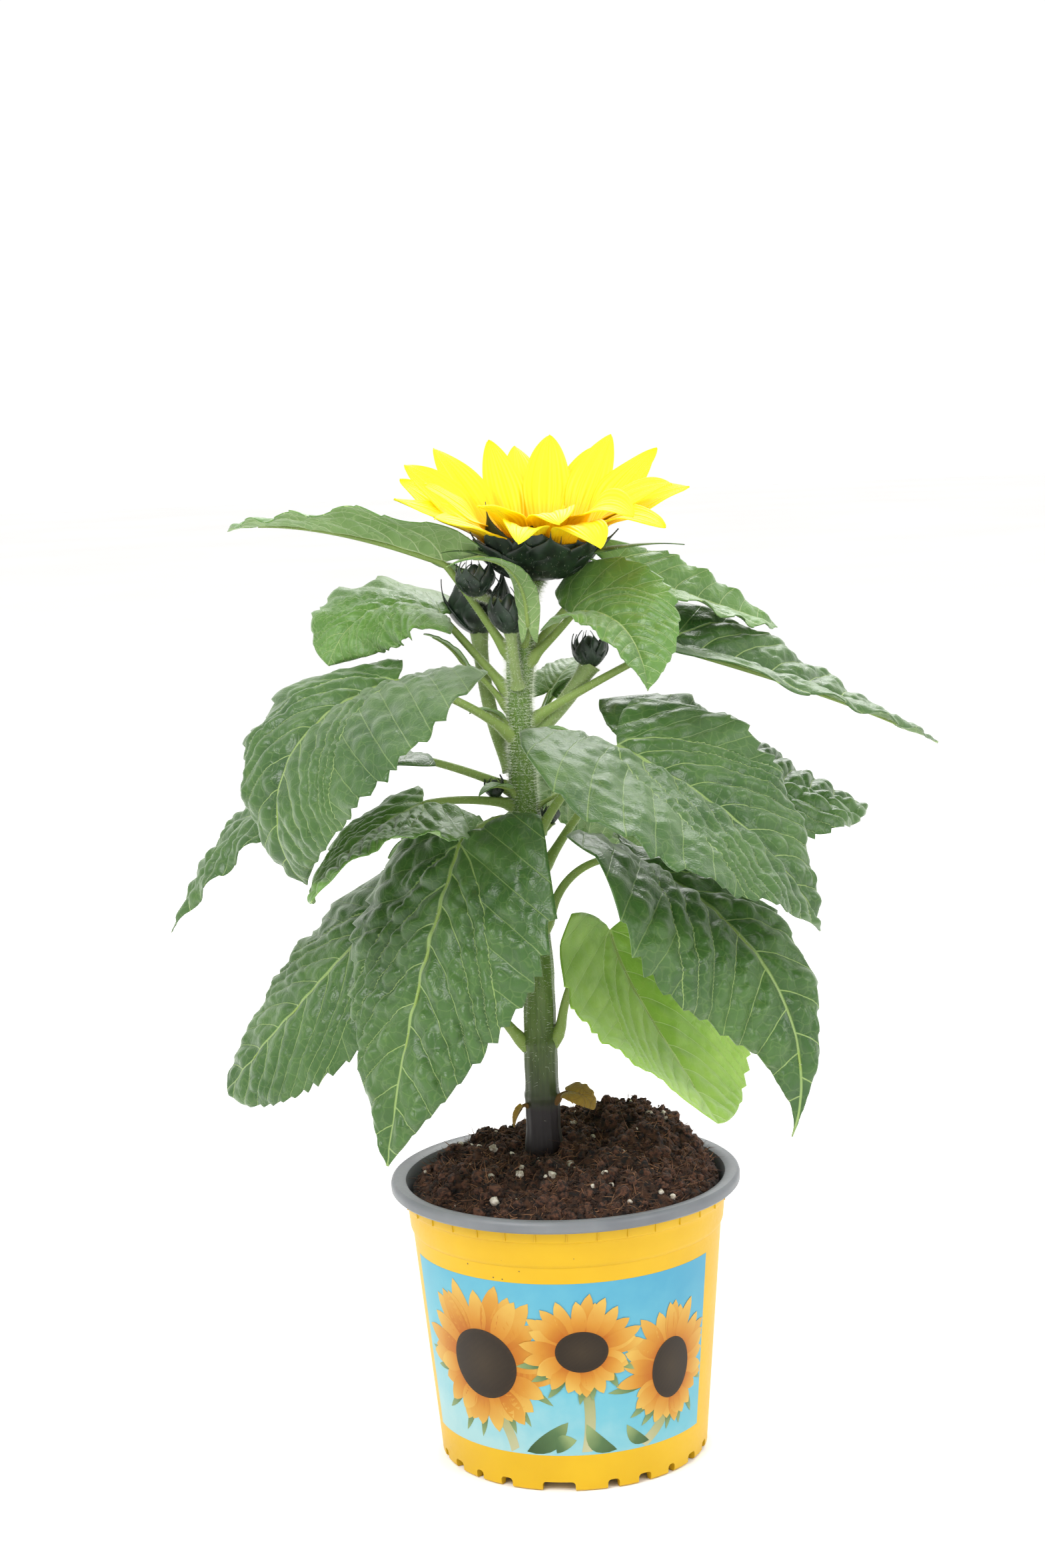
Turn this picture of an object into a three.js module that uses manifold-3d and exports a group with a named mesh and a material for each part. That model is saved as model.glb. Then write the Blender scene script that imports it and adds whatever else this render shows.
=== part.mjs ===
// A potted sunflower: round nursery pot, peat, one stem with its leaves and buds, and an open flower.
// Millimetres, +Z up, the origin on the flat underside of the pot, at its axis.
import * as THREE from 'three';
import { mergeVertices } from 'three/addons/utils/BufferGeometryUtils.js';
import Module from 'manifold-3d';

const manifoldLibrary = await Module();
manifoldLibrary.setup();
const { Manifold, Mesh: ManifoldMesh } = manifoldLibrary;

const GAP = 0.35;                 // clear distance between neighbouring pieces
const RAD = Math.PI / 180;

// ---------------------------------------------------------------- sizes
const POT = {
  height: 105, footRadius: 49.8, slope: 0.089, wall: 1.2, floor: 1.8,
  stepHeight: 86, stepOut: 0.8, rimRadius: 65, rimDrop: 4, rimThick: 1.2,
  notches: 12, notchWidth: 9, notchHeight: 4, frontNotchWidth: 26, segments: 40,
};
const SOIL = { edgeHeight: 100, moundHeight: 14, segments: 28, lean: 0.05 };

// stem stations from the peat to the flower: height, x, y, radius
const STEM = [
  [115, -7.5, 0, 7.0],
  [122, -7.5, 0, 6.4],
  [155, -7.5, 0, 6.0],
  [180, -7.0, 0, 5.6],
  [241, -10.0, 0, 5.0],
  [279, -10.5, 0, 4.7],
  [309, -8.5, 0, 4.2],
  [325, -4.0, 0, 3.7],
];

const HEAD = { x: -1, bottom: 325.5, top: 342, radius: 19.5, discRadius: 17, discHeight: 4.5 };
// Rays in two rings: an inner one that stands up a little more, and an outer one just below it.
// They all rise at first, and fall over most on the side of the azimuth frontAt.
const RAYS = {
  count: 22, length: 38, halfWidth: 7.0, thickness: 0.7, root: 20.2, tipShare: 0.98, mesh: [5, 2],
  pitch: 46, rearPitch: 15, frontAt: 300, frontPitch: 28, droop: 16, frontDroop: 92,
  inner: { pitch: 6, length: 0.94, out: 0, rise: 0.4 },
  outer: { pitch: -7, length: 1, out: 0.6, rise: -1.6 },
};

// blades longer than longFrom get the finer mesh: steps along and across, and steps of the stalk
const BLADE = { thickness: 1.0, tipShare: 0.985, longFrom: 40, longMesh: [7, 6, 6], shortMesh: [5, 4, 2] };
const STALK = { radius: 1.7, sides: 6, taper: 0.6 };

// Each leaf: at [height, azimuth]; stalk [length, pitch at root, pitch at end, turn];
// blade [length, half width, pitch at base, pitch at tip, turn]; roll [base, tip];
// fold and curl [left, right] of the midrib; form [bend, point, fullness]; lobes [left, right] width.
// Angles are degrees, azimuth 0 is +X and 90 is +Y, left and right are seen along the leaf.
const LEAVES = [
  { name: 'leaf_left_top', at: [301, 184], stalk: [38, 60, 54, 0], blade: [94, 24, 22, -10, -56],
    roll: [0, -10], fold: [46, -6], curl: [-10, -5], form: [1.2, 1.1, 2.0], lobes: [1, 1] },
  { name: 'leaf_left_upper', at: [287, 167], stalk: [34, 50, 50, 10], blade: [52, 33, 30, -70, 40],
    roll: [-12, -25], fold: [14, 8], curl: [-16, -16], form: [1, 0.9, 2.4], lobes: [1.05, 1] },
  { name: 'leaf_left_front', at: [271, 214], stalk: [51, 37, 16, 0], blade: [100, 46, -10, -142, 0],
    roll: [-12, -10], fold: [24, 12], curl: [-16, -36], form: [1.6, 1.1, 2.1], lobes: [1.5, 0.8] },
  { name: 'leaf_left_far', at: [250, 178], stalk: [44, 25, 13, 10], blade: [110, 30, 5, -62, -20],
    roll: [4, -10], fold: [8, 28], curl: [-32, -28], form: [0.6, 1.1, 2.2], lobes: [1.1, 1] },
  { name: 'leaf_front', at: [238, 243], stalk: [38, 20, -28, -15], blade: [116, 46, -60, -82, -22],
    roll: [6, -30], fold: [-6, -3], curl: [-16, -12], form: [1, 1.1, 1.6], lobes: [1.1, 1.08] },
  { name: 'leaf_left_middle', at: [244, 200], stalk: [35, 14, -2, 14], blade: [70, 34, -14, -27, 42],
    roll: [-8, 52], fold: [-5, 4], curl: [-15, -32], form: [1, 1.1, 2.1], lobes: [1.1, 1] },
  { name: 'leaf_left_low', at: [156, 187], stalk: [70, 54, 40, 0], blade: [97, 34, -46, -46, -48],
    roll: [-20, -58], fold: [-8, 5], curl: [-32, -16], form: [1, 0.6, 2.2], lobes: [1.05, 1] },
  { name: 'leaf_right_front', at: [234, 320], stalk: [52, 56, 26, -7], blade: [102, 45, -20, -72, 62],
    roll: [16, 34], fold: [12, 26], curl: [-2, -8], form: [1.5, 1.1, 2.1], lobes: [0.88, 1.4] },
  { name: 'leaf_right_far', at: [221, 12], stalk: [50, 57, 46, -14], blade: [108, 36, -14, -18, 52],
    roll: [38, 20], fold: [14, 5], curl: [-15, -20], form: [1, 1, 2.3], lobes: [1.05, 1] },
  { name: 'leaf_right_upper', at: [275, 3], stalk: [55, 29, 24, 0], blade: [124, 27, -19, -25, 40],
    roll: [4, 4], fold: [52, 12], curl: [-19, -18], form: [1, 1.1, 2.0], lobes: [1, 1] },
  { name: 'leaf_right_top', at: [301, 6], stalk: [39, 53, 37, 0], blade: [82, 16, -23, -17, 50],
    roll: [-3, 34], fold: [50, -7], curl: [10, 4], form: [1, 1, 2.3], lobes: [1, 1] },
  { name: 'leaf_centre_top', at: [298, 330], stalk: [23, 40, 42, -12], blade: [62, 26, 28, -48, -46],
    roll: [26, -18], fold: [36, 24], curl: [0, -7], form: [0.5, 1.1, 2.1], lobes: [0.95, 0.7] },
  { name: 'leaf_right_low', at: [201, 322], stalk: [48, 76, -8, 11], blade: [126, 42, -25, -115, -18],
    roll: [-6, 68], fold: [15, 22], curl: [-40, -30], form: [1.7, 1.4, 1.4], lobes: [0.68, 1.3] },
  { name: 'leaf_right_lowest', at: [158, 343], stalk: [46, 85, 39, -11], blade: [83, 42, -92, -38, -31],
    roll: [24, -27], fold: [21, 15], curl: [2, 7], form: [0.35, 0.65, 2.1], lobes: [1.08, 1.06] },
  { name: 'leaf_narrow', at: [303, 288], stalk: [15, 24, 33, -27], blade: [50, 5.5, 86, -25, -75],
    roll: [0, 0], fold: [20, 30], curl: [0, 0], form: [1.1, 1, 1.8], lobes: [1, 1] },
  { name: 'leaf_back_low', at: [212, 112], stalk: [42, 45, 5, 0], blade: [92, 34, -25, -75, 15],
    roll: [0, 10], fold: [10, 10], curl: [-20, -20], form: [1, 1.1, 2.1], lobes: [1, 1] },
  { name: 'leaf_back_right', at: [226, 68], stalk: [44, 45, 10, 0], blade: [84, 32, -15, -65, -15],
    roll: [0, -8], fold: [12, 8], curl: [-18, -20], form: [1, 1.1, 2.1], lobes: [1, 1] },
  { name: 'leaf_back_centre', at: [263, 55], stalk: [24, 58, 50, 0], blade: [34, 11, 40, -10, 20],
    roll: [0, 0], fold: [15, 15], curl: [-15, -15], form: [1, 1, 2.0], lobes: [1, 1] },
  { name: 'leaf_dead', at: [134, 330], stalk: [4, 40, 20, 0], blade: [13, 5.0, 15, -75, 20],
    roll: [20, 50], fold: [25, 15], curl: [-30, -40], form: [1, 0.8, 2.2], lobes: [1, 1] },
];

// Each bud: root [height, azimuth], tip of its stalk [x, y, z], bud radius and length
const BUDS = [
  { name: 'bud_left', root: [256, 150], end: [-23.5, 9, 307], radius: 8.5, length: 21, stalkRadius: 2.6 },
  { name: 'bud_upper_left', root: [315, 195], end: [-24.5, -9, 321.5], radius: 5.3, length: 12, stalkRadius: 1.5 },
  { name: 'bud_front', root: [287, 262], end: [-12.5, -9.5, 308], radius: 5, length: 15, stalkRadius: 2.0 },
  { name: 'bud_right', root: [268, 20], end: [16, 6, 294], radius: 4.5, length: 11, stalkRadius: 2.4 },
];

// ---------------------------------------------------------------- helpers
const material = (color, roughness) => new THREE.MeshStandardMaterial({ color, roughness, metalness: 0 });
const yellowPlastic = () => material(0xf0c419, 0.45);
const peat = () => material(0x3a2419, 0.95);
const stemGreen = () => material(0x8aa865, 0.6);
const leafGreen = () => material(0x3f7a35, 0.5);
const deadLeaf = () => material(0xa98a3c, 0.8);
const darkBud = () => material(0x1f3a24, 0.7);
const rayYellow = () => material(0xffd800, 0.55);
const discBrown = () => material(0x3b2412, 0.8);

const lerp = (a, b, share) => a + (b - a) * share;
const clamp01 = (value) => Math.min(1, Math.max(0, value));

// geometry as one indexed closed surface: positions only, no triangle that has lost its area
function welded(geometry) {
  const bare = new THREE.BufferGeometry();
  bare.setAttribute('position', geometry.getAttribute('position'));
  if (geometry.index) bare.setIndex(geometry.index);
  const merged = mergeVertices(bare, 1e-3);
  const kept = [];
  for (let i = 0; i < merged.index.count; i += 3) {
    const [a, b, c] = [merged.index.getX(i), merged.index.getX(i + 1), merged.index.getX(i + 2)];
    if (a !== b && b !== c && c !== a) kept.push(a, b, c);
  }
  merged.setIndex(kept);
  return merged;
}

function toManifold(geometry) {
  const surface = welded(geometry);
  return new Manifold(new ManifoldMesh({
    numProp: 3,
    vertProperties: new Float32Array(surface.getAttribute('position').array),
    triVerts: new Uint32Array(surface.index.array),
  }));
}

function fromManifold(solid) {
  const mesh = solid.getMesh();
  const geometry = new THREE.BufferGeometry();
  geometry.setAttribute('position', new THREE.BufferAttribute(mesh.vertProperties, 3));
  geometry.setIndex(new THREE.BufferAttribute(mesh.triVerts, 1));
  return geometry;
}

// every vertex of a primitive moved by place(x, y, z), which returns a Vector3
function deformed(geometry, place) {
  const position = geometry.getAttribute('position');
  for (let i = 0; i < position.count; i += 1) {
    const moved = place(position.getX(i), position.getY(i), position.getZ(i));
    position.setXYZ(i, moved.x, moved.y, moved.z);
  }
  return geometry;
}

const plant = new THREE.Group();
function add(name, geometry, surface) {
  const shape = geometry.toNonIndexed();
  shape.computeVertexNormals();
  const mesh = new THREE.Mesh(shape, surface);
  mesh.name = name;
  plant.add(mesh);
}

// ---------------------------------------------------------------- stem
// centre and radius of the stem at a height
function stemAt(height) {
  const last = STEM.length - 1;
  let i = 0;
  while (i < last - 1 && height > STEM[i + 1][0]) i += 1;
  const share = clamp01((height - STEM[i][0]) / (STEM[i + 1][0] - STEM[i][0]));
  const centre = new THREE.Vector3(
    lerp(STEM[i][1], STEM[i + 1][1], share), lerp(STEM[i][2], STEM[i + 1][2], share), height);
  return { centre, radius: lerp(STEM[i][3], STEM[i + 1][3], share) };
}

function stemGeometry() {
  const foot = STEM[0][0];
  const tip = STEM[STEM.length - 1][0] - GAP;
  const cylinder = new THREE.CylinderGeometry(1, 1, 1, 10, 14);
  return deformed(cylinder, (x, y, z) => {
    const { centre, radius } = stemAt(lerp(foot, tip, y + 0.5));
    return centre.add(new THREE.Vector3(x * radius, -z * radius, 0));
  });
}

// ---------------------------------------------------------------- curved limbs
// Where a line goes that starts at a point and whose pitch and heading change evenly along it
function courseOf(start, heading, pitchStart, pitchEnd, length, turn, bend, steps = 40) {
  const stations = [];
  const point = start.clone();
  for (let i = 0; i <= steps; i += 1) {
    const share = i / steps;
    const yaw = (heading + turn * share) * RAD;
    const pitch = (pitchStart + (pitchEnd - pitchStart) * share ** bend) * RAD;
    stations.push({ point: point.clone(), yaw, pitch });
    const middle = (i + 0.5) / steps;
    const yawMiddle = (heading + turn * middle) * RAD;
    const pitchMiddle = (pitchStart + (pitchEnd - pitchStart) * middle ** bend) * RAD;
    point.addScaledVector(direction(yawMiddle, pitchMiddle), length / steps);
  }
  return stations;
}

function direction(yaw, pitch) {
  return new THREE.Vector3(
    Math.cos(pitch) * Math.cos(yaw), Math.cos(pitch) * Math.sin(yaw), Math.sin(pitch));
}

// point and axes (along, left, up) at a share of a course
function stationOf(course, share) {
  const place = clamp01(share) * (course.length - 1);
  const i = Math.min(course.length - 2, Math.floor(place));
  const part = place - i;
  const yaw = lerp(course[i].yaw, course[i + 1].yaw, part);
  const pitch = lerp(course[i].pitch, course[i + 1].pitch, part);
  const point = course[i].point.clone().lerp(course[i + 1].point, part);
  const along = direction(yaw, pitch);
  const left = new THREE.Vector3(-Math.sin(yaw), Math.cos(yaw), 0);
  return { point, along, left, up: along.clone().cross(left) };
}

function limbGeometry(course, radiusStart, radiusEnd, sides, steps) {
  const cylinder = new THREE.CylinderGeometry(1, 1, 1, sides, steps);
  return deformed(cylinder, (x, y, z) => {
    const share = y + 0.5;
    const station = stationOf(course, share);
    const radius = lerp(radiusStart, radiusEnd, share);
    return station.point.addScaledVector(station.left, x * radius).addScaledVector(station.up, -z * radius);
  });
}

// start of a limb on the stem, far enough out to leave the gap
function rootOn(height, azimuth, pitch, radius) {
  const { centre, radius: stemRadius } = stemAt(height);
  const reach = stemRadius + GAP + radius * Math.abs(Math.sin(pitch * RAD));
  return centre.addScaledVector(direction(azimuth * RAD, 0), reach);
}

// ---------------------------------------------------------------- leaves
// flat outline of a leaf with cordate base, in shares of its length: s 0..1 along, t -1..1 across
function leafOutline(leaf, s, t) {
  const [length, halfWidth] = leaf.blade;
  const [, point, fullness] = leaf.form;
  const side = Math.abs(t);
  const lobe = t > 0 ? leaf.lobes[0] : leaf.lobes[1];
  const back = -0.13 * Math.exp(-s / 0.05) + 0.16 * (1 - s) * (1 - Math.exp(-s / 0.08));
  const half = (halfWidth / length) * lobe * (1 - 0.42 * Math.exp(-s / 0.05))
    * (1 - s ** fullness) ** point;
  return { x: s + back * (1 - (1 - side) ** 2), y: half * side };
}

// point on the middle surface of a bent leaf
function leafPoint(leaf, course, s, t) {
  const [length] = leaf.blade;
  const flat = leafOutline(leaf, s, t);
  const station = stationOf(course, flat.x);
  const roll = lerp(leaf.roll[0], leaf.roll[1], clamp01(flat.x)) * RAD;
  const left = station.left.clone().multiplyScalar(Math.cos(roll)).addScaledVector(station.up, Math.sin(roll));
  const up = station.up.clone().multiplyScalar(Math.cos(roll)).addScaledVector(station.left, -Math.sin(roll));
  const sideIndex = t > 0 ? 0 : 1;
  const fold = leaf.fold[sideIndex] * RAD * (1 - 0.65 * clamp01(flat.x));
  const curl = leaf.curl[sideIndex] * RAD * Math.abs(t);
  const parts = 5;
  let across = 0;
  let rise = 0;
  for (let k = 0; k < parts; k += 1) {
    const angle = fold + curl * (k + 0.5) / parts;
    across += Math.cos(angle) / parts;
    rise += Math.sin(angle) / parts;
  }
  return station.point
    .addScaledVector(station.along, Math.min(flat.x, 0) * length)
    .addScaledVector(left, flat.y * across * Math.sign(t) * length)
    .addScaledVector(up, flat.y * rise * length);
}

// closed blade of a given thickness round surface(s, t)
function bladeGeometry(surface, thickness, alongSteps, acrossSteps, tipShare) {
  const box = new THREE.BoxGeometry(1, 2, 1, alongSteps, acrossSteps, 1);
  const reach = 0.02;
  return deformed(box, (x, y, z) => {
    const s = (x + 0.5) ** 1.25 * tipShare;
    const along = surface(Math.min(1, s + reach), y).sub(surface(Math.max(0, s - reach), y));
    const across = surface(s, Math.min(1, y + reach)).sub(surface(s, Math.max(-1, y - reach)));
    const normal = along.cross(across).normalize();
    return surface(s, y).addScaledVector(normal, Math.sign(z) * thickness / 2);
  });
}

function leafGeometry(leaf) {
  const [stalkLength, pitchStart, pitchEnd, stalkTurn] = leaf.stalk;
  const [length, , bladeStart, bladeEnd, bladeTurn] = leaf.blade;
  const stalkRadius = Math.min(STALK.radius, leaf.blade[1] * 0.12 + 0.5);
  const root = rootOn(leaf.at[0], leaf.at[1], pitchStart, stalkRadius);
  const stalk = courseOf(root, leaf.at[1], pitchStart, pitchEnd, stalkLength, stalkTurn, 1);
  const end = stalk[stalk.length - 1];
  const rib = courseOf(end.point, end.yaw / RAD, bladeStart, bladeEnd, length, bladeTurn, leaf.form[0]);
  const [alongSteps, acrossSteps, stalkSteps] = length > BLADE.longFrom ? BLADE.longMesh : BLADE.shortMesh;
  const blade = bladeGeometry(
    (s, t) => leafPoint(leaf, rib, s, t), BLADE.thickness, alongSteps, acrossSteps, BLADE.tipShare);
  // the stalk runs on a little along the rib, so that the two share some solid
  const stalkShape = limbGeometry(
    [...stalk, rib[2]], stalkRadius, stalkRadius * STALK.taper, STALK.sides, stalkSteps);
  return fromManifold(toManifold(blade).add(toManifold(stalkShape)));
}

// ---------------------------------------------------------------- buds and flower
function budGeometry(bud) {
  const { centre, radius: stemRadius } = stemAt(bud.root[0]);
  const outward = direction(bud.root[1] * RAD, 0);
  const start = centre.addScaledVector(outward, stemRadius + GAP + bud.stalkRadius);
  const end = new THREE.Vector3(...bud.end);
  const bow = start.clone().lerp(end, 0.4).addScaledVector(outward, 0.12 * start.distanceTo(end));
  const curve = new THREE.QuadraticBezierCurve3(start, bow, end);
  const course = curve.getSpacedPoints(20).map((point, i) => {
    const tangent = curve.getTangentAt(i / 20);
    return { point, yaw: Math.atan2(tangent.y, tangent.x), pitch: Math.asin(tangent.z) };
  });
  const stalk = limbGeometry(course, bud.stalkRadius, bud.stalkRadius * 0.9, 8, 5);
  // an onion shape: round below, drawn out to a blunt tip above
  const ball = deformed(new THREE.SphereGeometry(1, 8, 6), (x, y, z) => {
    const taper = 1 - 0.35 * clamp01(y);
    return new THREE.Vector3(
      bud.end[0] + x * bud.radius * taper,
      bud.end[1] - z * bud.radius * taper,
      bud.end[2] + (y * 0.5 + 0.44) * bud.length);
  });
  return fromManifold(toManifold(stalk).add(toManifold(ball)));
}

function headGeometry() {
  const { radius, bottom, top } = HEAD;
  const profile = [
    [0, bottom], [radius * 0.3, bottom], [radius * 0.72, lerp(bottom, top, 0.16)],
    [radius * 0.96, lerp(bottom, top, 0.5)], [radius, lerp(bottom, top, 0.8)],
    [radius * 0.97, top], [0, top],
  ].map(([r, z]) => new THREE.Vector2(r, z));
  return new THREE.LatheGeometry(profile, 24).rotateX(Math.PI / 2).translate(HEAD.x, 0, 0);
}

function discGeometry() {
  const base = HEAD.top + GAP;
  const profile = [[0, base], [HEAD.discRadius, base]];
  const rounds = 4;
  for (let i = 1; i <= rounds; i += 1) {
    const angle = (i / rounds) * 90 * RAD;
    profile.push([HEAD.discRadius * Math.cos(angle), base + HEAD.discHeight * Math.sin(angle)]);
  }
  const points = profile.map(([r, z]) => new THREE.Vector2(Math.max(0, r), z));
  return new THREE.LatheGeometry(points, 20).rotateX(Math.PI / 2).translate(HEAD.x, 0, 0);
}

// one ray, a thin trough along a course
function rayGeometry(index) {
  const ring = index % 2 === 1 ? RAYS.inner : RAYS.outer;
  const azimuth = (index / RAYS.count) * 360;
  const back = Math.sin(azimuth * RAD);
  const front = Math.max(0, Math.cos((azimuth - RAYS.frontAt) * RAD)) ** 2;
  const start = RAYS.pitch + RAYS.rearPitch * back + RAYS.frontPitch * front + ring.pitch;
  const end = start - RAYS.droop - RAYS.frontDroop * front;
  const length = RAYS.length * (1 + 0.12 * back) * ring.length * (1 + 0.04 * Math.sin(index * 2.4));
  const radius = RAYS.root + ring.out;
  const root = new THREE.Vector3(
    HEAD.x + radius * Math.cos(azimuth * RAD), radius * Math.sin(azimuth * RAD), HEAD.top + ring.rise);
  const course = courseOf(root, azimuth, start, end, length, 0, 1);
  const surface = (s, t) => {
    const station = stationOf(course, s);
    const half = RAYS.halfWidth * (0.25 + 0.75 * Math.sin(Math.PI * Math.min(1, s * 1.05 + 0.03) ** 0.85))
      * (1 - s ** 5);
    const trough = 0.22 * half * t * t * (1 - s);
    return station.point.addScaledVector(station.left, t * half).addScaledVector(station.up, trough);
  };
  return bladeGeometry(surface, RAYS.thickness, ...RAYS.mesh, RAYS.tipShare);
}

// ---------------------------------------------------------------- pot and peat
const potRadiusAt = (z) => POT.footRadius + POT.slope * z + (z > POT.stepHeight ? POT.stepOut : 0);

function potGeometry() {
  const { height, wall, floor, stepHeight, rimRadius, rimDrop, rimThick } = POT;
  const under = height - rimThick;
  const outline = [
    [0, 0], [potRadiusAt(0), 0], [potRadiusAt(stepHeight), stepHeight],
    [potRadiusAt(stepHeight + 0.01), stepHeight + 0.8], [potRadiusAt(under), under],
    [rimRadius - rimThick, under], [rimRadius - rimThick, height - rimDrop],
    [rimRadius, height - rimDrop], [rimRadius, height], [potRadiusAt(height) - wall, height],
    [potRadiusAt(stepHeight) - wall, stepHeight], [potRadiusAt(floor) - wall, floor], [0, floor],
  ].map(([r, z]) => new THREE.Vector2(r, z));
  const shell = new THREE.LatheGeometry(outline, POT.segments).rotateX(Math.PI / 2);
  let pot = toManifold(shell);
  for (let i = 0; i < POT.notches; i += 1) {
    const front = i === 0;
    const width = front ? POT.frontNotchWidth : POT.notchWidth;
    const notch = new THREE.BoxGeometry(width, 3, POT.notchHeight * 2)
      .translate(0, -(potRadiusAt(0) + 0.7), 0)
      .rotateZ((i / POT.notches) * 2 * Math.PI);
    pot = pot.subtract(toManifold(notch));
  }
  return fromManifold(pot);
}

// height of the peat: mounded, higher to the right and the back, lumpy
function peatHeight(x, y, radiusShare) {
  const mound = SOIL.moundHeight * (1 - radiusShare ** 4);
  const lumps = 1.3 * Math.sin(x * 0.21 + 1) * Math.cos(y * 0.19) * (1 - radiusShare ** 6);
  const lean = SOIL.lean * (0.8 * x + 0.6 * y) * (1 - radiusShare ** 8);
  const stem = Math.hypot(x - STEM[0][1], y - STEM[0][2]);
  const high = SOIL.edgeHeight + mound + lumps + lean;
  const foot = STEM[0][0] - GAP;
  return stem < 13 ? Math.min(high, foot) : high;
}

function soilGeometry() {
  const bottom = POT.floor + GAP;
  const inside = (z) => potRadiusAt(z) - (z > POT.stepHeight ? POT.stepOut : 0) - POT.wall - GAP;
  const top = inside(SOIL.edgeHeight);
  const rings = 7;
  const outline = [[0, bottom], [inside(bottom), bottom], [top, SOIL.edgeHeight]];
  for (let i = 1; i <= rings; i += 1) outline.push([top * (1 - i / rings), SOIL.edgeHeight + 1]);
  const points = outline.map(([r, z]) => new THREE.Vector2(r, z));
  const lathe = new THREE.LatheGeometry(points, SOIL.segments).rotateX(Math.PI / 2);
  return deformed(lathe, (x, y, z) => {
    if (z <= SOIL.edgeHeight + 0.5) return new THREE.Vector3(x, y, z);
    return new THREE.Vector3(x, y, peatHeight(x, y, Math.hypot(x, y) / top));
  });
}

// ---------------------------------------------------------------- assembly
add('pot', potGeometry(), yellowPlastic());
add('soil', fromManifold(toManifold(soilGeometry())), peat());
add('stem', fromManifold(toManifold(stemGeometry())), stemGreen());
add('flower_base', fromManifold(toManifold(headGeometry())), darkBud());
add('flower_disc', fromManifold(toManifold(discGeometry())), discBrown());
for (let i = 0; i < RAYS.count; i += 1) {
  add(`ray_${String(i + 1).padStart(2, '0')}`, fromManifold(toManifold(rayGeometry(i))), rayYellow());
}
for (const bud of BUDS) add(bud.name, budGeometry(bud), darkBud());
for (const leaf of LEAVES) {
  add(leaf.name, leafGeometry(leaf), leaf.name === 'leaf_dead' ? deadLeaf() : leafGreen());
}

export default plant;
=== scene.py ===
import math
from functools import partial
import bpy
import numpy as np
from mathutils import Matrix, Vector, noise


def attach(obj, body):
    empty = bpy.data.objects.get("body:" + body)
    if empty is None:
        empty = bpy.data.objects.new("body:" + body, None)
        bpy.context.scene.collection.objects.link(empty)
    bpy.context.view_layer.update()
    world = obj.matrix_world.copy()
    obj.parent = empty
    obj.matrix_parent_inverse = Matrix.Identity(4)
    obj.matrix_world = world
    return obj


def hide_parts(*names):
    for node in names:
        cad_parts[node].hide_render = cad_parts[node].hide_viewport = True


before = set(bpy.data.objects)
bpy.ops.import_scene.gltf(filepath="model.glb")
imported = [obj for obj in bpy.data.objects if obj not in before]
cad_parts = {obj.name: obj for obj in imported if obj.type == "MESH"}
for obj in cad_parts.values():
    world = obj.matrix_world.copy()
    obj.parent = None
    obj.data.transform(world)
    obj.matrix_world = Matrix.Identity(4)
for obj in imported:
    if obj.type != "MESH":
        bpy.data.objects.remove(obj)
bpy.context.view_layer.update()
mm = 0.001
chance = np.random.default_rng(11)


# small tools: sizes are in millimetres until the points are placed
def deselectAll():
    if bpy.context.object and bpy.context.object.mode != "OBJECT":
        bpy.ops.object.mode_set(mode="OBJECT")
    bpy.ops.object.select_all(action="DESELECT")


def choose(*pieces):
    deselectAll()
    for piece in pieces:
        piece.select_set(True)
    bpy.context.view_layer.objects.active = pieces[0]
    return pieces[0]


def named(name, *materials):
    piece = bpy.context.object
    piece.name = name
    piece.data.name = name
    for material in materials:
        piece.data.materials.append(material)
    return piece


def applied(piece, kind, **settings):
    choose(piece)
    modifier = piece.modifiers.new(kind.title(), kind)
    for key, value in settings.items():
        setattr(modifier, key, value)
    bpy.ops.object.modifier_apply(modifier=modifier.name)
    return piece


def joined(name, pieces):
    piece = choose(*pieces)
    if len(pieces) > 1:
        bpy.ops.object.join()
    piece.name = name
    piece.data.name = name
    return piece


def cleaned(piece, distance, outward=True):
    choose(piece)
    bpy.ops.object.mode_set(mode="EDIT")
    bpy.ops.mesh.select_all(action="SELECT")
    bpy.ops.mesh.remove_doubles(threshold=distance)
    if outward:
        bpy.ops.mesh.normals_make_consistent(inside=False)
    bpy.ops.object.mode_set(mode="OBJECT")
    return piece


def smooth(piece, angle=None):
    choose(piece)
    if angle is None:
        bpy.ops.object.shade_smooth()
    else:
        bpy.ops.object.shade_smooth_by_angle(angle=math.radians(angle))
    return piece


def pointsOf(piece):
    points = np.empty(len(piece.data.vertices) * 3)
    piece.data.vertices.foreach_get("co", points)
    return points.reshape(-1, 3)


def placePoints(piece, points):
    piece.data.vertices.foreach_set("co", np.asarray(points, float).ravel())
    piece.data.update()


def setUv(piece, name, values):
    layer = piece.data.uv_layers.get(name) or piece.data.uv_layers.new(name=name)
    corner = np.empty(len(piece.data.loops), int)
    piece.data.loops.foreach_get("vertex_index", corner)
    layer.data.foreach_set("uv", np.asarray(values, float)[corner].ravel())


def gridPiece(name, along, across, *materials):
    deselectAll()
    bpy.ops.mesh.primitive_grid_add(x_subdivisions=along, y_subdivisions=across, size=2)
    piece = named(name, *materials)
    while piece.data.uv_layers:
        piece.data.uv_layers.remove(piece.data.uv_layers[0])
    return piece


# the places of a grid's points along it, from 0 to 1, and across it, from -1 to 1
def gridShares(piece):
    grid = pointsOf(piece)
    columns = len(np.unique(np.round(grid[:, 0], 5)))
    return ((grid[:, 0] + 1) / 2).reshape(-1, columns), grid[:, 1].reshape(-1, columns)


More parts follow.
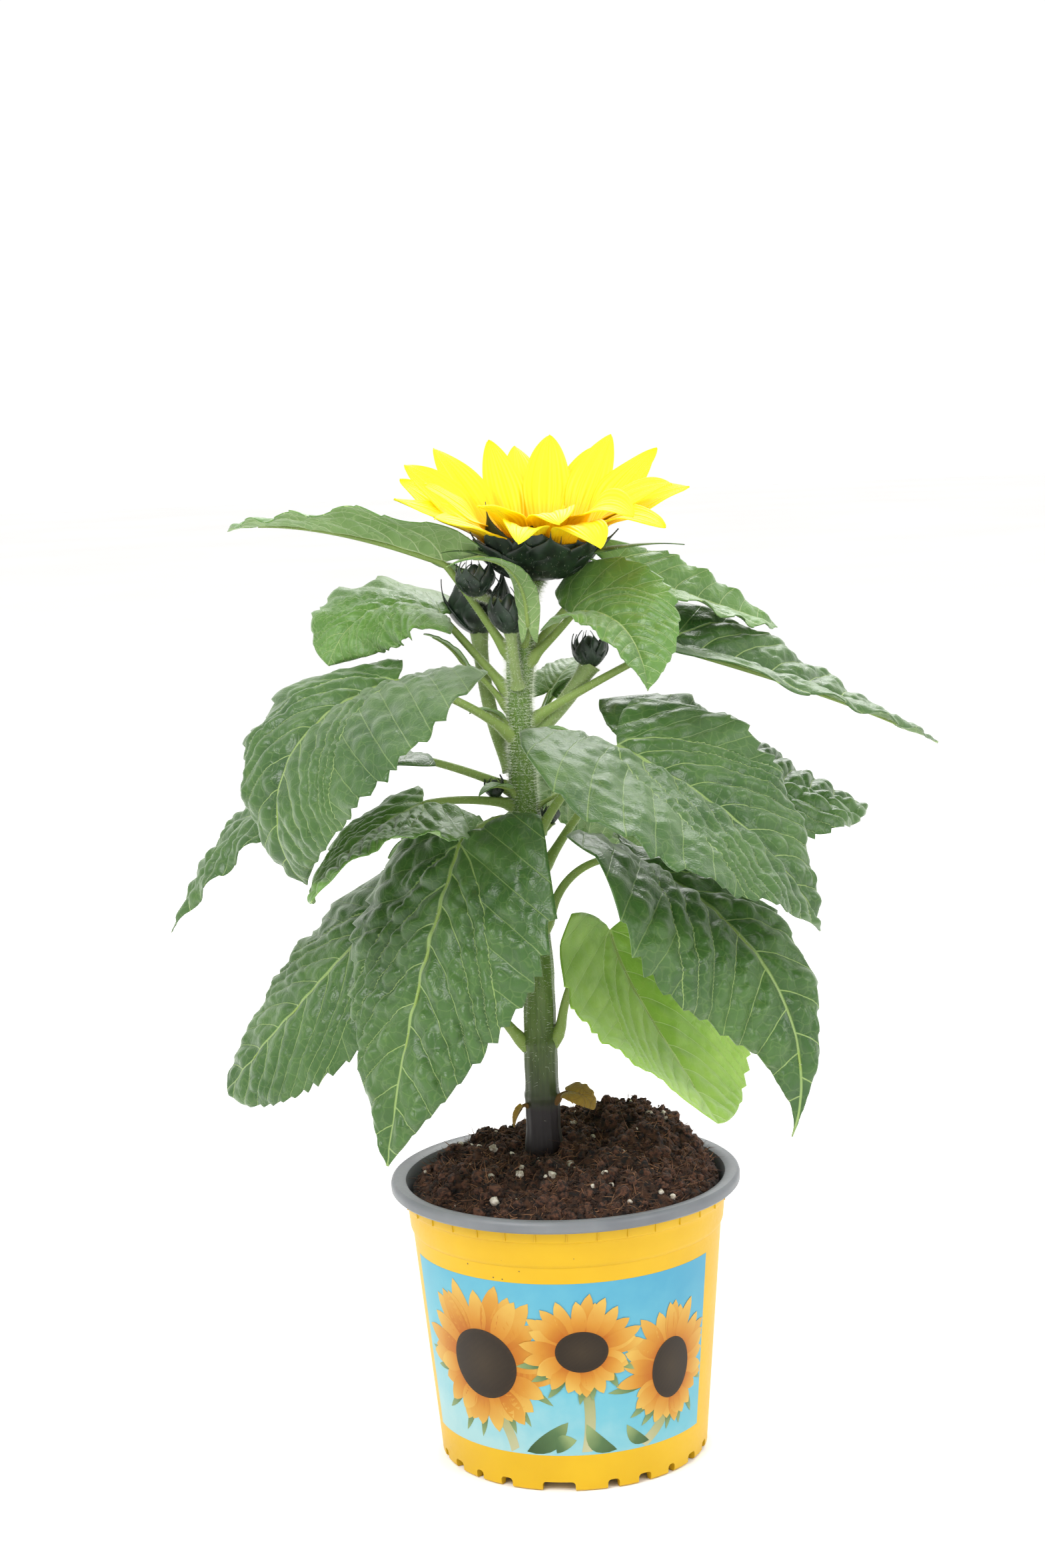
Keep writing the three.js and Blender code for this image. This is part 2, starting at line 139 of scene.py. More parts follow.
# puts a grid on its points, with coordinates for its material, and gives it thickness
def thickened(piece, points, flat, thickness, **settings):
    placePoints(piece, points.reshape(-1, 3) * mm)
    setUv(piece, "flat", np.stack(flat, -1).reshape(-1, 2))
    cleaned(piece, 0.03 * mm, False)
    applied(piece, "SOLIDIFY", thickness=thickness * mm, offset=0.0, **settings)
    return smooth(piece)


# one mesh of many copies of a small template, each copy at its own set of points
def repeated(name, template, pointSets, *materials, uv=None):
    pointSets = np.asarray(pointSets, float)
    count = len(template.data.vertices)
    faces = [tuple(face.vertices) for face in template.data.polygons]
    allFaces = [tuple(v + i * count for v in face) for i in range(len(pointSets)) for face in faces]
    mesh = bpy.data.meshes.new(name)
    mesh.from_pydata(pointSets.reshape(-1, 3).tolist(), [], allFaces)
    bpy.data.objects.remove(template)
    piece = bpy.data.objects.new(name, mesh)
    bpy.context.scene.collection.objects.link(piece)
    for material in materials:
        mesh.materials.append(material)
    if uv is not None:
        setUv(piece, "flat", np.asarray(uv, float).reshape(-1, 2))
    return piece


# a round tube along a line of points
def tubePiece(name, points, radii, material):
    curve = bpy.data.curves.new(name, "CURVE")
    curve.dimensions = "3D"
    curve.bevel_depth = mm
    curve.bevel_resolution = 3
    curve.use_fill_caps = True
    spline = curve.splines.new("POLY")
    spline.points.add(len(points) - 1)
    for knot, point, radius in zip(spline.points, points, radii):
        knot.co = (*(np.asarray(point) * mm), 1)
        knot.radius = radius
    piece = bpy.data.objects.new(name, curve)
    bpy.context.scene.collection.objects.link(piece)
    choose(piece)
    bpy.ops.object.convert(target="MESH")
    piece = bpy.context.object
    piece.data.materials.append(material)
    return smooth(piece)


# joins a piece to the frame; it takes the place of the nodes named
def finished(piece, slot, *nodes):
    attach(piece, "root")
    if nodes:
        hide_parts(*nodes)
    return piece


def unit(vectors):
    size = np.linalg.norm(vectors, axis=-1, keepdims=True)
    return vectors / np.maximum(size, 1e-12)


def smoothStep(value):
    value = np.clip(value, 0, 1)
    return value * value * (3 - 2 * value)


def cloud(points, size, seed=0.0):
    places = points / size + (seed, -seed, 0)
    return np.array([noise.noise(Vector(place)) for place in places])


def direction(yaw, pitch):
    return np.stack([np.cos(pitch) * np.cos(yaw), np.cos(pitch) * np.sin(yaw), np.sin(pitch)], -1)


# materials: colours are sRGB hex values, turned to linear here
def linear(hexColour):
    parts = [int(hexColour[i:i + 2], 16) / 255 for i in (1, 3, 5)]
    return tuple(c / 12.92 if c <= 0.04045 else ((c + 0.055) / 1.055) ** 2.4 for c in parts) + (1.0,)


# adds a node with its settings and links (a value that is a socket is linked), and gives its outputs
def addNode(tree, kind, values=None):
    node = tree.nodes.new("ShaderNode" + kind)
    for key, value in (values or {}).items():
        if isinstance(value, bpy.types.NodeSocket):
            tree.links.new(value, node.inputs[key])
        elif key == "stops":
            ramp = node.color_ramp.elements
            while len(ramp) < len(value):
                ramp.new(0.5)
            for stop, (position, colour) in zip(ramp, value):
                stop.position = position
                stop.color = linear(colour)
        elif isinstance(key, str) and hasattr(node, key):
            setattr(node, key, value)
        else:
            node.inputs[key].default_value = value
    return node.outputs


# an empty material, with addNode for its own tree and the object's coordinates
def newMaterial(name):
    material = bpy.data.materials.new(name)
    material.use_nodes = True
    material.node_tree.nodes.clear()
    add = partial(addNode, material.node_tree)
    return material, add, add("TexCoord")["Object"]


def surfaced(material, values):
    shader = addNode(material.node_tree, "BsdfPrincipled", values)
    addNode(material.node_tree, "OutputMaterial", {"Surface": shader[0]})
    return material


# two colours mixed over the object by cloudy noise of a size in millimetres
def mottled(add, place, sizeMm, first, second, contrast=(0.35, 0.65), detail=4.0):
    patches = add("TexNoise", {"Scale": 1 / (sizeMm * mm), "Detail": detail, "Vector": place})["Fac"]
    ramp = add("ValToRGB", {"stops": [(contrast[0], first), (contrast[1], second)], "Fac": patches})
    return ramp["Color"], patches


# polypropylene, thermoformed: smooth, a little waxy, with faint blotches, fine scuffs and specks of soil
def plasticMaterial(name, first, second, roughness, speckAmount):
    material, add, place = newMaterial(name)
    base, patches = mottled(add, place, 30, first, second)
    specks = add("TexVoronoi", {"Scale": 1 / (5 * mm), "Randomness": 1.0, "Vector": place})["Distance"]
    where = add("TexNoise", {"Scale": 1 / (22 * mm), "Detail": 2.0, "Vector": place})["Fac"]
    reach = add("MapRange", {0: where, 1: 0.55, 2: 0.75, 3: 0.0, 4: speckAmount})[0]
    dirty = add("Math", {"operation": "LESS_THAN", 0: specks, 1: reach})[0]
    colour = add("Mix", {"data_type": "RGBA", 0: dirty, 6: base, 7: linear("#4b3a22")})[2]
    scuffs = add("TexNoise", {"Scale": 1 / (1.5 * mm), "Detail": 3.0, "Vector": place})["Fac"]
    rough = add("MapRange", {0: scuffs, 3: roughness - 0.06, 4: roughness + 0.12})[0]
    bump = add("Bump", {"Distance": 0.0006, "Strength": 0.5, "Height": patches})[0]
    return surfaced(material, {"Base Color": colour, "Roughness": rough, "Normal": bump, "IOR": 1.49,
                               "Specular IOR Level": 0.36, "Subsurface Weight": 0.05,
                               "Subsurface Scale": 0.001})


# how the side veins of a leaf leave its midrib, in shares of the blade's length; the fan is at its base
veinForm = {"slant": 0.5, "curve": 4.0, "spacing": 0.125, "stagger": 0.45, "fan": -0.45, "fanSpacing": 0.095}


# living leaf: waxy cuticle over quilted green tissue, pale sunken veins, with painted light on the raised
# tissue and painted shade in the grooves between it
def leafMaterial(name, dark, light, vein, roughness, netAmount, veinAmount=0.85, sunken=True, glow=0.12):
    material, add, place = newMaterial(name)
    eased = {"interpolation_type": "SMOOTHSTEP"}
    flat = add("UVMap", {"uv_map": "flat"})[0]
    along, across, _ = add("SeparateXYZ", {0: flat})
    side = add("Math", {"operation": "GREATER_THAN", 0: across, 1: 0.0})[0]
    out = add("Math", {"operation": "ABSOLUTE", 0: across})[0]
    # the side veins
    curve, slant, spacing = veinForm["curve"], veinForm["slant"], veinForm["spacing"]
    slope = add("Math", {"operation": "MULTIPLY_ADD", 0: out, 1: -curve, 2: -slant})[0]
    sweep = add("Math", {"operation": "MULTIPLY_ADD", 0: slope, 1: out, 2: along})[0]
    shift = add("MapRange", {0: sweep, 1: 0.0, 2: 0.15, 3: 0.0, 4: veinForm["stagger"]})[0]
    shifted = add("Math", {"operation": "MULTIPLY", 0: shift, 1: side})[0]
    phase = add("Math", {"operation": "MULTIPLY_ADD", 0: sweep, 1: 1 / spacing, 2: shifted})[0]
    nearest = add("Math", {"operation": "PINGPONG", 0: phase, 1: 0.5})[0]
    width = add("MapRange", {0: sweep, 1: 0.0, 2: 0.25, 3: 0.06, 4: 0.03})[0]
    ratio = add("Math", {"operation": "DIVIDE", 0: nearest, 1: width})[0]
    lateral = add("MapRange", {**eased, 0: ratio, 1: 0.3, 2: 1.0, 3: 1.0, 4: 0.0})[0]
    upper = add("Math", {"operation": "GREATER_THAN", 0: sweep, 1: -0.03})[0]
    lateral = add("Math", {"operation": "MULTIPLY", 0: lateral, 1: upper})[0]
    # the fan of veins in the lobes at the base
    fan = add("Math", {"operation": "MULTIPLY_ADD", 0: out, 1: veinForm["fan"], 2: along})[0]
    fanNear = add("Math", {"operation": "PINGPONG", 0: fan, 1: veinForm["fanSpacing"] / 2})[0]
    lower = add("MapRange", {**eased, 0: fanNear, 1: 0.0, 2: 0.0035, 3: 0.55, 4: 0.0})[0]
    under = add("Math", {"operation": "LESS_THAN", 0: sweep, 1: 0.0})[0]
    lower = add("Math", {"operation": "MULTIPLY", 0: lower, 1: under})[0]
    # the midrib
    taper = add("MapRange", {0: along, 1: 0.0, 2: 1.0, 3: 0.013, 4: 0.0035})[0]
    ribRatio = add("Math", {"operation": "DIVIDE", 0: out, 1: taper})[0]
    rib = add("MapRange", {**eased, 0: ribRatio, 1: 0.4, 2: 1.0, 3: 1.0, 4: 0.0})[0]
    # the fine net between them
    wobble = add("TexNoise", {"Scale": 1 / (6 * mm), "Detail": 1.0, "Vector": place})["Color"]
    stirred = add("Mix", {"data_type": "VECTOR", 0: 0.004, 4: place, 5: wobble})[1]
    cells = {"feature": "DISTANCE_TO_EDGE", "Scale": 1 / (4.5 * mm), "Vector": stirred}
    cells = add("TexVoronoi", cells)["Distance"]
    net = add("MapRange", {**eased, 0: cells, 1: 0.0, 2: 0.07, 3: netAmount, 4: 0.0})[0]
    veins = lateral
    for more in (rib, lower, net):
        veins = add("Math", {"operation": "MAXIMUM", 0: veins, 1: more})[0]
    tissue, patches = mottled(add, place, 22, dark, light, (0.25, 0.8), 3.0)
    # painted light and shade: the tissue is mixed towards the light green where it stands up between the veins,
    # so the grooves stay darker
    puff = add("Attribute", {"attribute_name": "puff"})["Fac"]
    lift = add("MapRange", {0: puff, 1: 0.0, 2: 1.0, 3: 0.0, 4: 0.3})[0]
    tissue = add("Mix", {"data_type": "RGBA", 0: lift, 6: tissue, 7: linear(light)})[2]
    amount = add("Math", {"operation": "MULTIPLY", 0: veins, 1: veinAmount})[0]
    colour = add("Mix", {"data_type": "RGBA", 0: amount, 6: tissue, 7: linear(vein)})[2]
    rough = add("MapRange", {0: patches, 1: 0.3, 2: 0.7, 3: roughness - 0.07, 4: roughness + 0.1})[0]
    grain = add("TexVoronoi", {"Scale": 1 / (0.9 * mm), "Vector": stirred})["Distance"]
    grain = add("Math", {"operation": "MULTIPLY", 0: grain, 1: 0.3})[0]
    level = add("Math", {"operation": "MULTIPLY_ADD", 0: veins, 1: -1.0 if sunken else 1.5, 2: grain})[0]
    bump = add("Bump", {"Distance": 0.0003, "Strength": 0.7, "Height": level})[0]
    return surfaced(material, {"Base Color": colour, "Roughness": rough, "Normal": bump, "IOR": 1.42,
                               "Subsurface Weight": glow, "Subsurface Scale": 0.0015,
                               "Subsurface Radius": (0.6, 1.0, 0.25), "Sheen Weight": 0.4,
                               "Sheen Roughness": 0.42, "Sheen Tint": linear("#e9f6df")})


# skin of stems and stalks: fine lengthwise ribs, and a colour that changes with height
def stemMaterial(name, stops, low, high, roughness, woodyFoot=False):
    material, add, place = newMaterial(name)
    part = add("SeparateXYZ", {0: place})[2]
    stir = add("TexNoise", {"Scale": 1 / (9 * mm), "Detail": 4.0, "Vector": place})["Fac"]
    level = add("Math", {"operation": "MULTIPLY_ADD", 0: stir, 1: 6 * mm, 2: part})[0]
    share = add("MapRange", {0: level, 1: low * mm, 2: high * mm, 3: 0.0, 4: 1.0})[0]
    base = add("ValToRGB", {"stops": stops, "Fac": share})["Color"]
    stretch = add("Mapping", {"Scale": (1, 1, 0.06), "Vector": place})[0]
    streak = add("TexNoise", {"Scale": 1 / (1.1 * mm), "Detail": 3.0, "Vector": stretch})["Fac"]
    tone = add("MapRange", {0: streak, 1: 0.35, 2: 0.65, 3: 0.0, 4: 0.35})[0]
    if woodyFoot:  # the foot stays dark: streaks are green only above it
        green = add("MapRange", {0: share, 1: 0.1, 2: 0.3, 3: 0.0, 4: 1.0})[0]
        tone = add("Math", {"operation": "MULTIPLY", 0: tone, 1: green})[0]
    colour = add("Mix", {"data_type": "RGBA", 0: tone, 6: base, 7: linear("#839c50")})[2]
    bump = add("Bump", {"Distance": 0.0004, "Strength": 0.6, "Height": streak})[0]
    return surfaced(material, {"Base Color": colour, "Roughness": roughness, "Normal": bump, "IOR": 1.42,
                               "Subsurface Weight": 0.1, "Subsurface Scale": 0.002, "Sheen Weight": 0.12,
                               "Sheen Roughness": 0.4, "Sheen Tint": linear("#eef4e2")})


# plain living or dry tissue with cloudy colour: bracts, hairs, peat crumbs, grains
def tissueMaterial(name, first, second, sizeMm, roughness, bumpMm):
    material, add, place = newMaterial(name)
    base, patches = mottled(add, place, sizeMm, first, second, (0.38, 0.62), 6.0)
    bump = add("Bump", {"Distance": bumpMm * mm, "Strength": 0.8, "Height": patches})[0]
    return surfaced(material, {"Base Color": base, "Roughness": roughness, "Normal": bump})


# ray floret: satin yellow, warmer at the foot, with fine ridges along it
def rayMaterial(name, foot, middle, tip, roughness):
    material, add, _ = newMaterial(name)
    flat = add("UVMap", {"uv_map": "flat"})[0]
    along, across, _ = add("SeparateXYZ", {0: flat})
    base = add("ValToRGB", {"stops": [(0.0, foot), (0.3, middle), (0.75, tip)], "Fac": along})["Color"]
    wave = add("Math", {"operation": "MULTIPLY", 0: across, 1: 58.0})[0]
    ridge = add("Math", {"operation": "SINE", 0: wave})[0]
    tone = add("MapRange", {0: ridge, 1: -1.0, 2: 1.0, 3: 0.16, 4: 0.0})[0]
    colour = add("Mix", {"data_type": "RGBA", 0: tone, 6: base, 7: linear(foot)})[2]
    bump = add("Bump", {"Distance": 0.0002, "Strength": 0.5, "Height": ridge})[0]
    return surfaced(material, {"Base Color": colour, "Roughness": roughness, "Normal": bump, "IOR": 1.4,
                               "Subsurface Weight": 0.25, "Subsurface Scale": 0.002,
                               "Subsurface Radius": (1.0, 0.8, 0.1)})


# offset print on the pot's label: matt ink that fades along a strip, or across the sky from low to high
def printMaterial(name, stops, overSky=False):
    material, add, place = newMaterial(name)
    if overSky:
        x, _, z = add("SeparateXYZ", {0: place})
        lean = add("Math", {"operation": "MULTIPLY_ADD", 0: x, 1: 0.45, 2: z})[0]
        part = add("MapRange", {0: lean, 1: 0.0, 2: 0.1, 3: 0.0, 4: 1.0})[0]
    else:
        part = add("SeparateXYZ", {0: add("UVMap", {"uv_map": "flat"})[0]})[0]
    haze = add("TexNoise", {"Scale": 1 / (7 * mm), "Detail": 5.0, "Vector": place})["Fac"]
    mixed = add("Math", {"operation": "MULTIPLY_ADD", 0: haze, 1: 0.3, 2: -0.15})[0]
    share = add("Math", {"operation": "ADD", 0: mixed, 1: part})[0]
    colour = add("ValToRGB", {"stops": stops, "Fac": share})["Color"]
    return surfaced(material, {"Base Color": colour, "Roughness": 0.45, "IOR": 1.49,
                               "Specular IOR Level": 0.25})


yellowPolypropylene = plasticMaterial("yellowPolypropylene", "#c59b00", "#cba206", 0.42, 0.1)
greyPolypropylene = plasticMaterial("greyPolypropylene", "#63666a", "#747779", 0.36, 0.14)
matureLeaf = leafMaterial("matureLeafCuticle", "#27471e", "#45662c", "#9db46c", 0.33, 0.14, 0.62)
matureUnder = leafMaterial("matureLeafUnderside", "#5b7846", "#769259", "#bccd97", 0.6, 0.3, 0.6, False)
youngLeaf = leafMaterial("youngLeafCuticle", "#426629", "#60863d", "#abc17c", 0.37, 0.2, 0.65)
youngUnder = leafMaterial("youngLeafUnderside", "#6a894d", "#87a366", "#c6d5a2", 0.6, 0.35, 0.65, False)
oldLeaf = leafMaterial("yellowingLeafCuticle", "#688f2c", "#98b850", "#bdd184", 0.4, 0.12, 0.5, glow=0.25)
oldUnder = leafMaterial("yellowingLeafUnderside", "#6f9a40", "#93b757", "#cfe09a", 0.6, 0.4, 0.8, False)
dryLeaf = leafMaterial("dryLeafTissue", "#6f541c", "#a5822c", "#5a3c18", 0.65, 0.4)
stemSkin = stemMaterial("stemSkin", [(0.0, "#0d0607"), (0.09, "#170b0d"), (0.13, "#303a1a"), (0.4, "#5a772f"),
                                     (0.75, "#4c6c24"), (1.0, "#5b7b36")], 112, 327, 0.45, True)
stalkSkin = stemMaterial("stalkSkin", [(0.0, "#879d4c"), (1.0, "#7a914a")], 120, 340, 0.5)
budStalkSkin = stemMaterial("budStalkSkin", [(0.0, "#6f8744"), (1.0, "#8a9a68")], 250, 330, 0.6)
paleHair = tissueMaterial("paleHair", "#dfe6cf", "#f4f6ea", 2, 0.5, 0.0)
darkBract = tissueMaterial("darkBractTissue", "#0d1811", "#1f3222", 5, 0.42, 0.1)
greenBract = tissueMaterial("greenBractTissue", "#2d4a22", "#56743a", 6, 0.5, 0.1)
rayPetal = rayMaterial("rayFloretSatin", "#f0a400", "#ffd400", "#fff01a", 0.5)
discFloret = tissueMaterial("discFloretTissue", "#1d0f07", "#57330f", 1.5, 0.7, 0.2)
pollenTip = tissueMaterial("pollenTip", "#b87410", "#e8b52a", 1.0, 0.7, 0.1)
peatMoss = tissueMaterial("peatMoss", "#0d0705", "#412716", 2.6, 0.95, 0.8)
peatCoir = tissueMaterial("peatCoir", "#170c07", "#573726", 1.4, 0.95, 0.8)
peatFibre = tissueMaterial("peatFibre", "#2d1a10", "#8a6244", 9, 0.9, 0.1)
perliteGrain = tissueMaterial("perliteGrain", "#8f8474", "#cfc8ba", 1.6, 0.85, 0.4)
print("materials made")


# camera, light and floor
view = {"lens": 62.98, "place": (-0.0103, -0.9888, 0.3999), "target": (-0.0103, 0.0, 0.2507), "roll": 2.23}
back = (Vector(view["place"]) - Vector(view["target"])).normalized()
right = Vector((0, 0, 1)).cross(back).normalized()
up = back.cross(right)
roll = math.radians(view["roll"])
cameraRight = right * math.cos(roll) - up * math.sin(roll)
cameraUp = right * math.sin(roll) + up * math.cos(roll)
cameraData = bpy.data.cameras.new("camera")
cameraData.lens = view["lens"]
cameraData.sensor_width = 36
camera = bpy.data.objects.new("camera", cameraData)
bpy.context.scene.collection.objects.link(camera)
turn = Matrix((cameraRight, cameraUp, back)).transposed().to_4x4()
camera.matrix_world = Matrix.Translation(view["place"]) @ turn
bpy.context.scene.camera = camera

studio = {"sky": 1.03, "key": 24.0, "fill": 9.0, "rim": 18.0}
world = bpy.data.worlds.new("studio")
bpy.context.scene.world = world
world.use_nodes = True
sky = world.node_tree.nodes["Background"]
sky.inputs[0].default_value = (1, 1, 1, 1)
sky.inputs[1].default_value = studio["sky"]
softboxes = [("key", (-0.9, -1.1, 1.5), 0.9), ("fill", (1.2, -0.9, 0.9), 0.8), ("rim", (0.3, 1.2, 1.4), 1.0)]
for name, place, size in softboxes:
    data = bpy.data.lights.new(name, "AREA")
    data.shape = "SQUARE"
    data.size = size
    data.energy = studio[name]
    lamp = bpy.data.objects.new(name, data)
    bpy.context.scene.collection.objects.link(lamp)
    away = (Vector(place) - Vector((0, 0, 0.2))).to_track_quat("Z", "Y")
    lamp.matrix_world = Matrix.Translation(place) @ away.to_matrix().to_4x4()
bpy.context.scene.view_settings.view_transform = "Standard"
bpy.context.scene.view_settings.look = "None"

deselectAll()
bpy.ops.mesh.primitive_plane_add(size=16, location=(0, 0, -0.0002))
paleFloor, addToFloor, floorPlace = newMaterial("paleFloor")  # matt painted board
floorTone, _ = mottled(addToFloor, floorPlace, 400, "#fbfaf8", "#fdfdfc")
floor = named("floor", surfaced(paleFloor, {"Base Color": floorTone, "Roughness": 0.7}))
print("camera, light and floor set")


# pot: millimetres, and degrees for the notches round its foot
pot = {"footRadius": 49.8, "slope": 0.089, "wall": 1.2, "step": 86, "stepOut": 0.8, "segments": 168,
       "frontNotch": 262, "frontNotchWidth": 12.0, "notches": 23, "notchFrom": 23, "notchWidth": 4.4,
       "notchHeight": 7.0, "notchDepth": 6, "notchReach": 48.6, "notchBevel": 1.3, "greyFrom": 100.5,
       "baseTop": 3.6}
potRibs = {"count": 34, "size": (1.5, 0.6, 5.6), "reach": 60.0, "height": 99.2, "bevel": 0.25}


def wallRadius(z):
    return pot["footRadius"] + pot["slope"] * z + (pot["stepOut"] if z > pot["step"] else 0)


# a ring drawn out step by step along a profile of (radius, height), both ends filled
def turnedPiece(name, profile, segments, *materials):
    deselectAll()
    radius, height = profile[0]
    bpy.ops.mesh.primitive_circle_add(vertices=segments, radius=radius * mm, location=(0, 0, height * mm),
                                      fill_type="NGON")
    piece = named(name, *materials)
    bpy.ops.object.transform_apply(location=True, rotation=True, scale=True)
    bpy.ops.object.mode_set(mode="EDIT")
    bpy.ops.mesh.select_mode(type="EDGE")
    bpy.ops.mesh.select_all(action="SELECT")
    bpy.ops.mesh.delete(type="ONLY_FACE")
    bpy.ops.mesh.select_all(action="SELECT")
    bpy.ops.mesh.edge_face_add()
    bpy.ops.mesh.select_all(action="SELECT")
    for nextRadius, nextHeight in profile[1:]:
        bpy.ops.mesh.extrude_region_move(TRANSFORM_OT_translate={"value": (0, 0, (nextHeight - height) * mm)})
        share = nextRadius / radius
        bpy.ops.transform.resize(value=(share, share, 1), center_override=(0, 0, nextHeight * mm))
        radius, height = nextRadius, nextHeight
    bpy.ops.object.mode_set(mode="OBJECT")
    return cleaned(piece, 0.01 * mm)


step, wall = pot["step"], pot["wall"]
shellProfile = [
    (20, 3.0), (45.5, 3.0), (46.6, 2.4), (47.2, 0.0), (49.3, 0.0), (wallRadius(1), 0.6), (wallRadius(4), 4.0),
    (wallRadius(14), 14), (wallRadius(40), 40), (wallRadius(80), 80), (wallRadius(step), step),
    (wallRadius(step) + 0.5, step + 0.5), (wallRadius(step + 1), step + 1.6), (wallRadius(94), 94),
    (wallRadius(95), 95), (wallRadius(95) + 0.25, 95.6), (wallRadius(95) + 0.9, 96.0),
    (wallRadius(96) + 1.1, 96.6), (wallRadius(103) + 1.1, 102.6), (wallRadius(103) + 1.6, 103.1), (63.4, 103.2),
    (63.8, 102.6), (63.9, 101.2), (64.4, 100.8), (64.9, 101.4), (65.0, 103.2), (64.6, 104.4), (63.8, 105.0),
    (62.2, 105.0), (60.4, 104.7), (59.4, 104.1), (58.8, 102.6), (58.2, 98),
    (wallRadius(step) - wall, step), (wallRadius(40) - wall, 40), (wallRadius(4) - wall, 4.2), (20, 4.2),
]
shell = turnedPiece("pot_shell", shellProfile, pot["segments"], yellowPolypropylene, greyPolypropylene)

cutters = []
places = [(0, pot["frontNotchWidth"])]
for i in range(pot["notches"]):
    turnBy = pot["notchFrom"] + (360 - 2 * pot["notchFrom"]) * i / (pot["notches"] - 1)
    places.append((turnBy, pot["notchWidth"] * (1 + 0.25 * math.sin(i * 2.3))))
for turnBy, width in places:
    angle = math.radians(pot["frontNotch"] + turnBy)
    deselectAll()
    bpy.ops.mesh.primitive_cube_add(size=mm)
    cutter = named("cutter")
    bpy.ops.transform.resize(value=(pot["notchDepth"], width, pot["notchHeight"]))
    bpy.ops.transform.rotate(value=angle, orient_axis="Z", center_override=(0, 0, 0))
    cutter.location = direction(angle, 0.0) * pot["notchReach"] * mm
    cutter.rotation_euler = (0, 0, angle)
    bpy.ops.object.transform_apply(location=True, rotation=True, scale=True)
    applied(cutter, "BEVEL", width=pot["notchBevel"] * mm, segments=3, limit_method="ANGLE")
    cutters.append(cutter)
cutter = joined("cutter", cutters)
applied(shell, "BOOLEAN", operation="DIFFERENCE", object=cutter, solver="EXACT")
bpy.data.objects.remove(cutter)

for face in shell.data.polygons:
    reach = math.hypot(face.center.x, face.center.y) / mm
    high = face.center.z / mm
    outside = reach > wallRadius(high) - 0.5 * pot["wall"] and high < pot["greyFrom"]
    face.material_index = 0 if outside or high < pot["baseTop"] else 1
smooth(shell, 35)

# short ribs in the corner under the rim
ribs = []
for i in range(potRibs["count"]):
    angle = 2 * math.pi * (i + 0.4) / potRibs["count"]
    deselectAll()
    bpy.ops.mesh.primitive_cube_add(size=mm)
    rib = named("pot_rib", yellowPolypropylene)
    rib.scale = potRibs["size"]
    rib.location = (direction(angle, 0.0) * potRibs["reach"] + (0, 0, potRibs["height"])) * mm
    rib.rotation_euler = (0, 0, angle)
    bpy.ops.object.transform_apply(location=True, rotation=True, scale=True)
    ribs.append(applied(rib, "BEVEL", width=potRibs["bevel"] * mm, segments=2))
shell = joined("pot_shell", [shell, smooth(joined("pot_ribs", ribs), 35)])
finished(shell, "pot_plastic", "pot")
print("pot made")


# printed picture: sky and three simple sunflowers, laid on the wall as thin film.
# Its start and end are degrees round the wall; arcs on it are millimetres at the wall's middle radius.
picture = {"low": 14, "high": 80, "start": -74, "end": 61, "radius": 56.0, "margin": 0.6, "skyFilm": 0.12,
           "film": 0.02}


def onWall(arc, z, lift):
    angle = math.radians(-90) + np.asarray(arc) / picture["radius"]
    radius = pot["footRadius"] + pot["slope"] * np.asarray(z) + lift
    return np.stack([radius * np.cos(angle), radius * np.sin(angle), np.asarray(z)], -1) * mm


printSky = printMaterial("printedSky", [(0.0, "#93b8ba"), (0.35, "#64a6b4"), (0.95, "#4890ab")], True)
printPetal = printMaterial("printedPetal", [(0.0, "#a1590f"), (0.35, "#b47a26"), (0.9, "#c29d49")])
printDisc = printMaterial("printedDisc", [(0.0, "#33281a"), (0.6, "#251b10"), (1.0, "#3d2a14")])
printStem = printMaterial("printedStem", [(0.0, "#6f7d45"), (0.6, "#96976c"), (1.0, "#a9a885")])
printLeaf = printMaterial("printedLeaf", [(0.0, "#2c4424"), (0.6, "#4b6640"), (1.0, "#7f9160")])

corners = np.array([[math.radians(picture["start"]) * picture["radius"], picture["low"]],
                    [math.radians(picture["end"]) * picture["radius"], picture["high"]]])
panel = gridPiece("patch", 60, 6, printSky)
place = corners[0] + (corners[1] - corners[0]) * (pointsOf(panel)[:, :2] + 1) / 2
placePoints(panel, onWall(place[:, 0], place[:, 1], 0.0))
cleaned(panel, 0.001 * mm, False)
setUv(panel, "flat", np.zeros((len(panel.data.vertices), 2)))
films = [applied(panel, "SOLIDIFY", thickness=picture["skyFilm"] * mm, offset=0.0)]


# a strip of film along a line on the wall, widest where the profile says
def filmStrips(name, lines, material, lift, columns=8, rows=2):
    template = gridPiece("patch", columns, rows)
    grid = pointsOf(template)
    s, t = (grid[:, 0] + 1) / 2, grid[:, 1]
    sets, uv = [], []
    for start, end, half, profile, bow, tone in lines:
        start, end = np.array(start, float), np.array(end, float)
        way = end - start
        side = np.array([-way[1], way[0]]) / np.linalg.norm(way)
        centre = start + s[:, None] * way + (4 * s * (1 - s) * bow)[:, None] * side
        flat = centre + (t * half * profile(s))[:, None] * side
        sets.append(onWall(flat[:, 0], flat[:, 1], lift + 0.012 * (len(sets) % 3)))
        uv.append(np.stack([np.clip(s * 0.9 + tone, 0, 1), t], -1))
    piece = repeated(name, template, sets, material, uv=uv)
    films.append(applied(piece, "SOLIDIFY", thickness=picture["film"] * mm, offset=1.0))


def petalShape(s):
    return np.sin(math.pi * np.clip(s * 0.88 + 0.12, 0, 1)) ** 0.7


def bladeShape(s):
    return np.sin(math.pi * s) ** 0.8


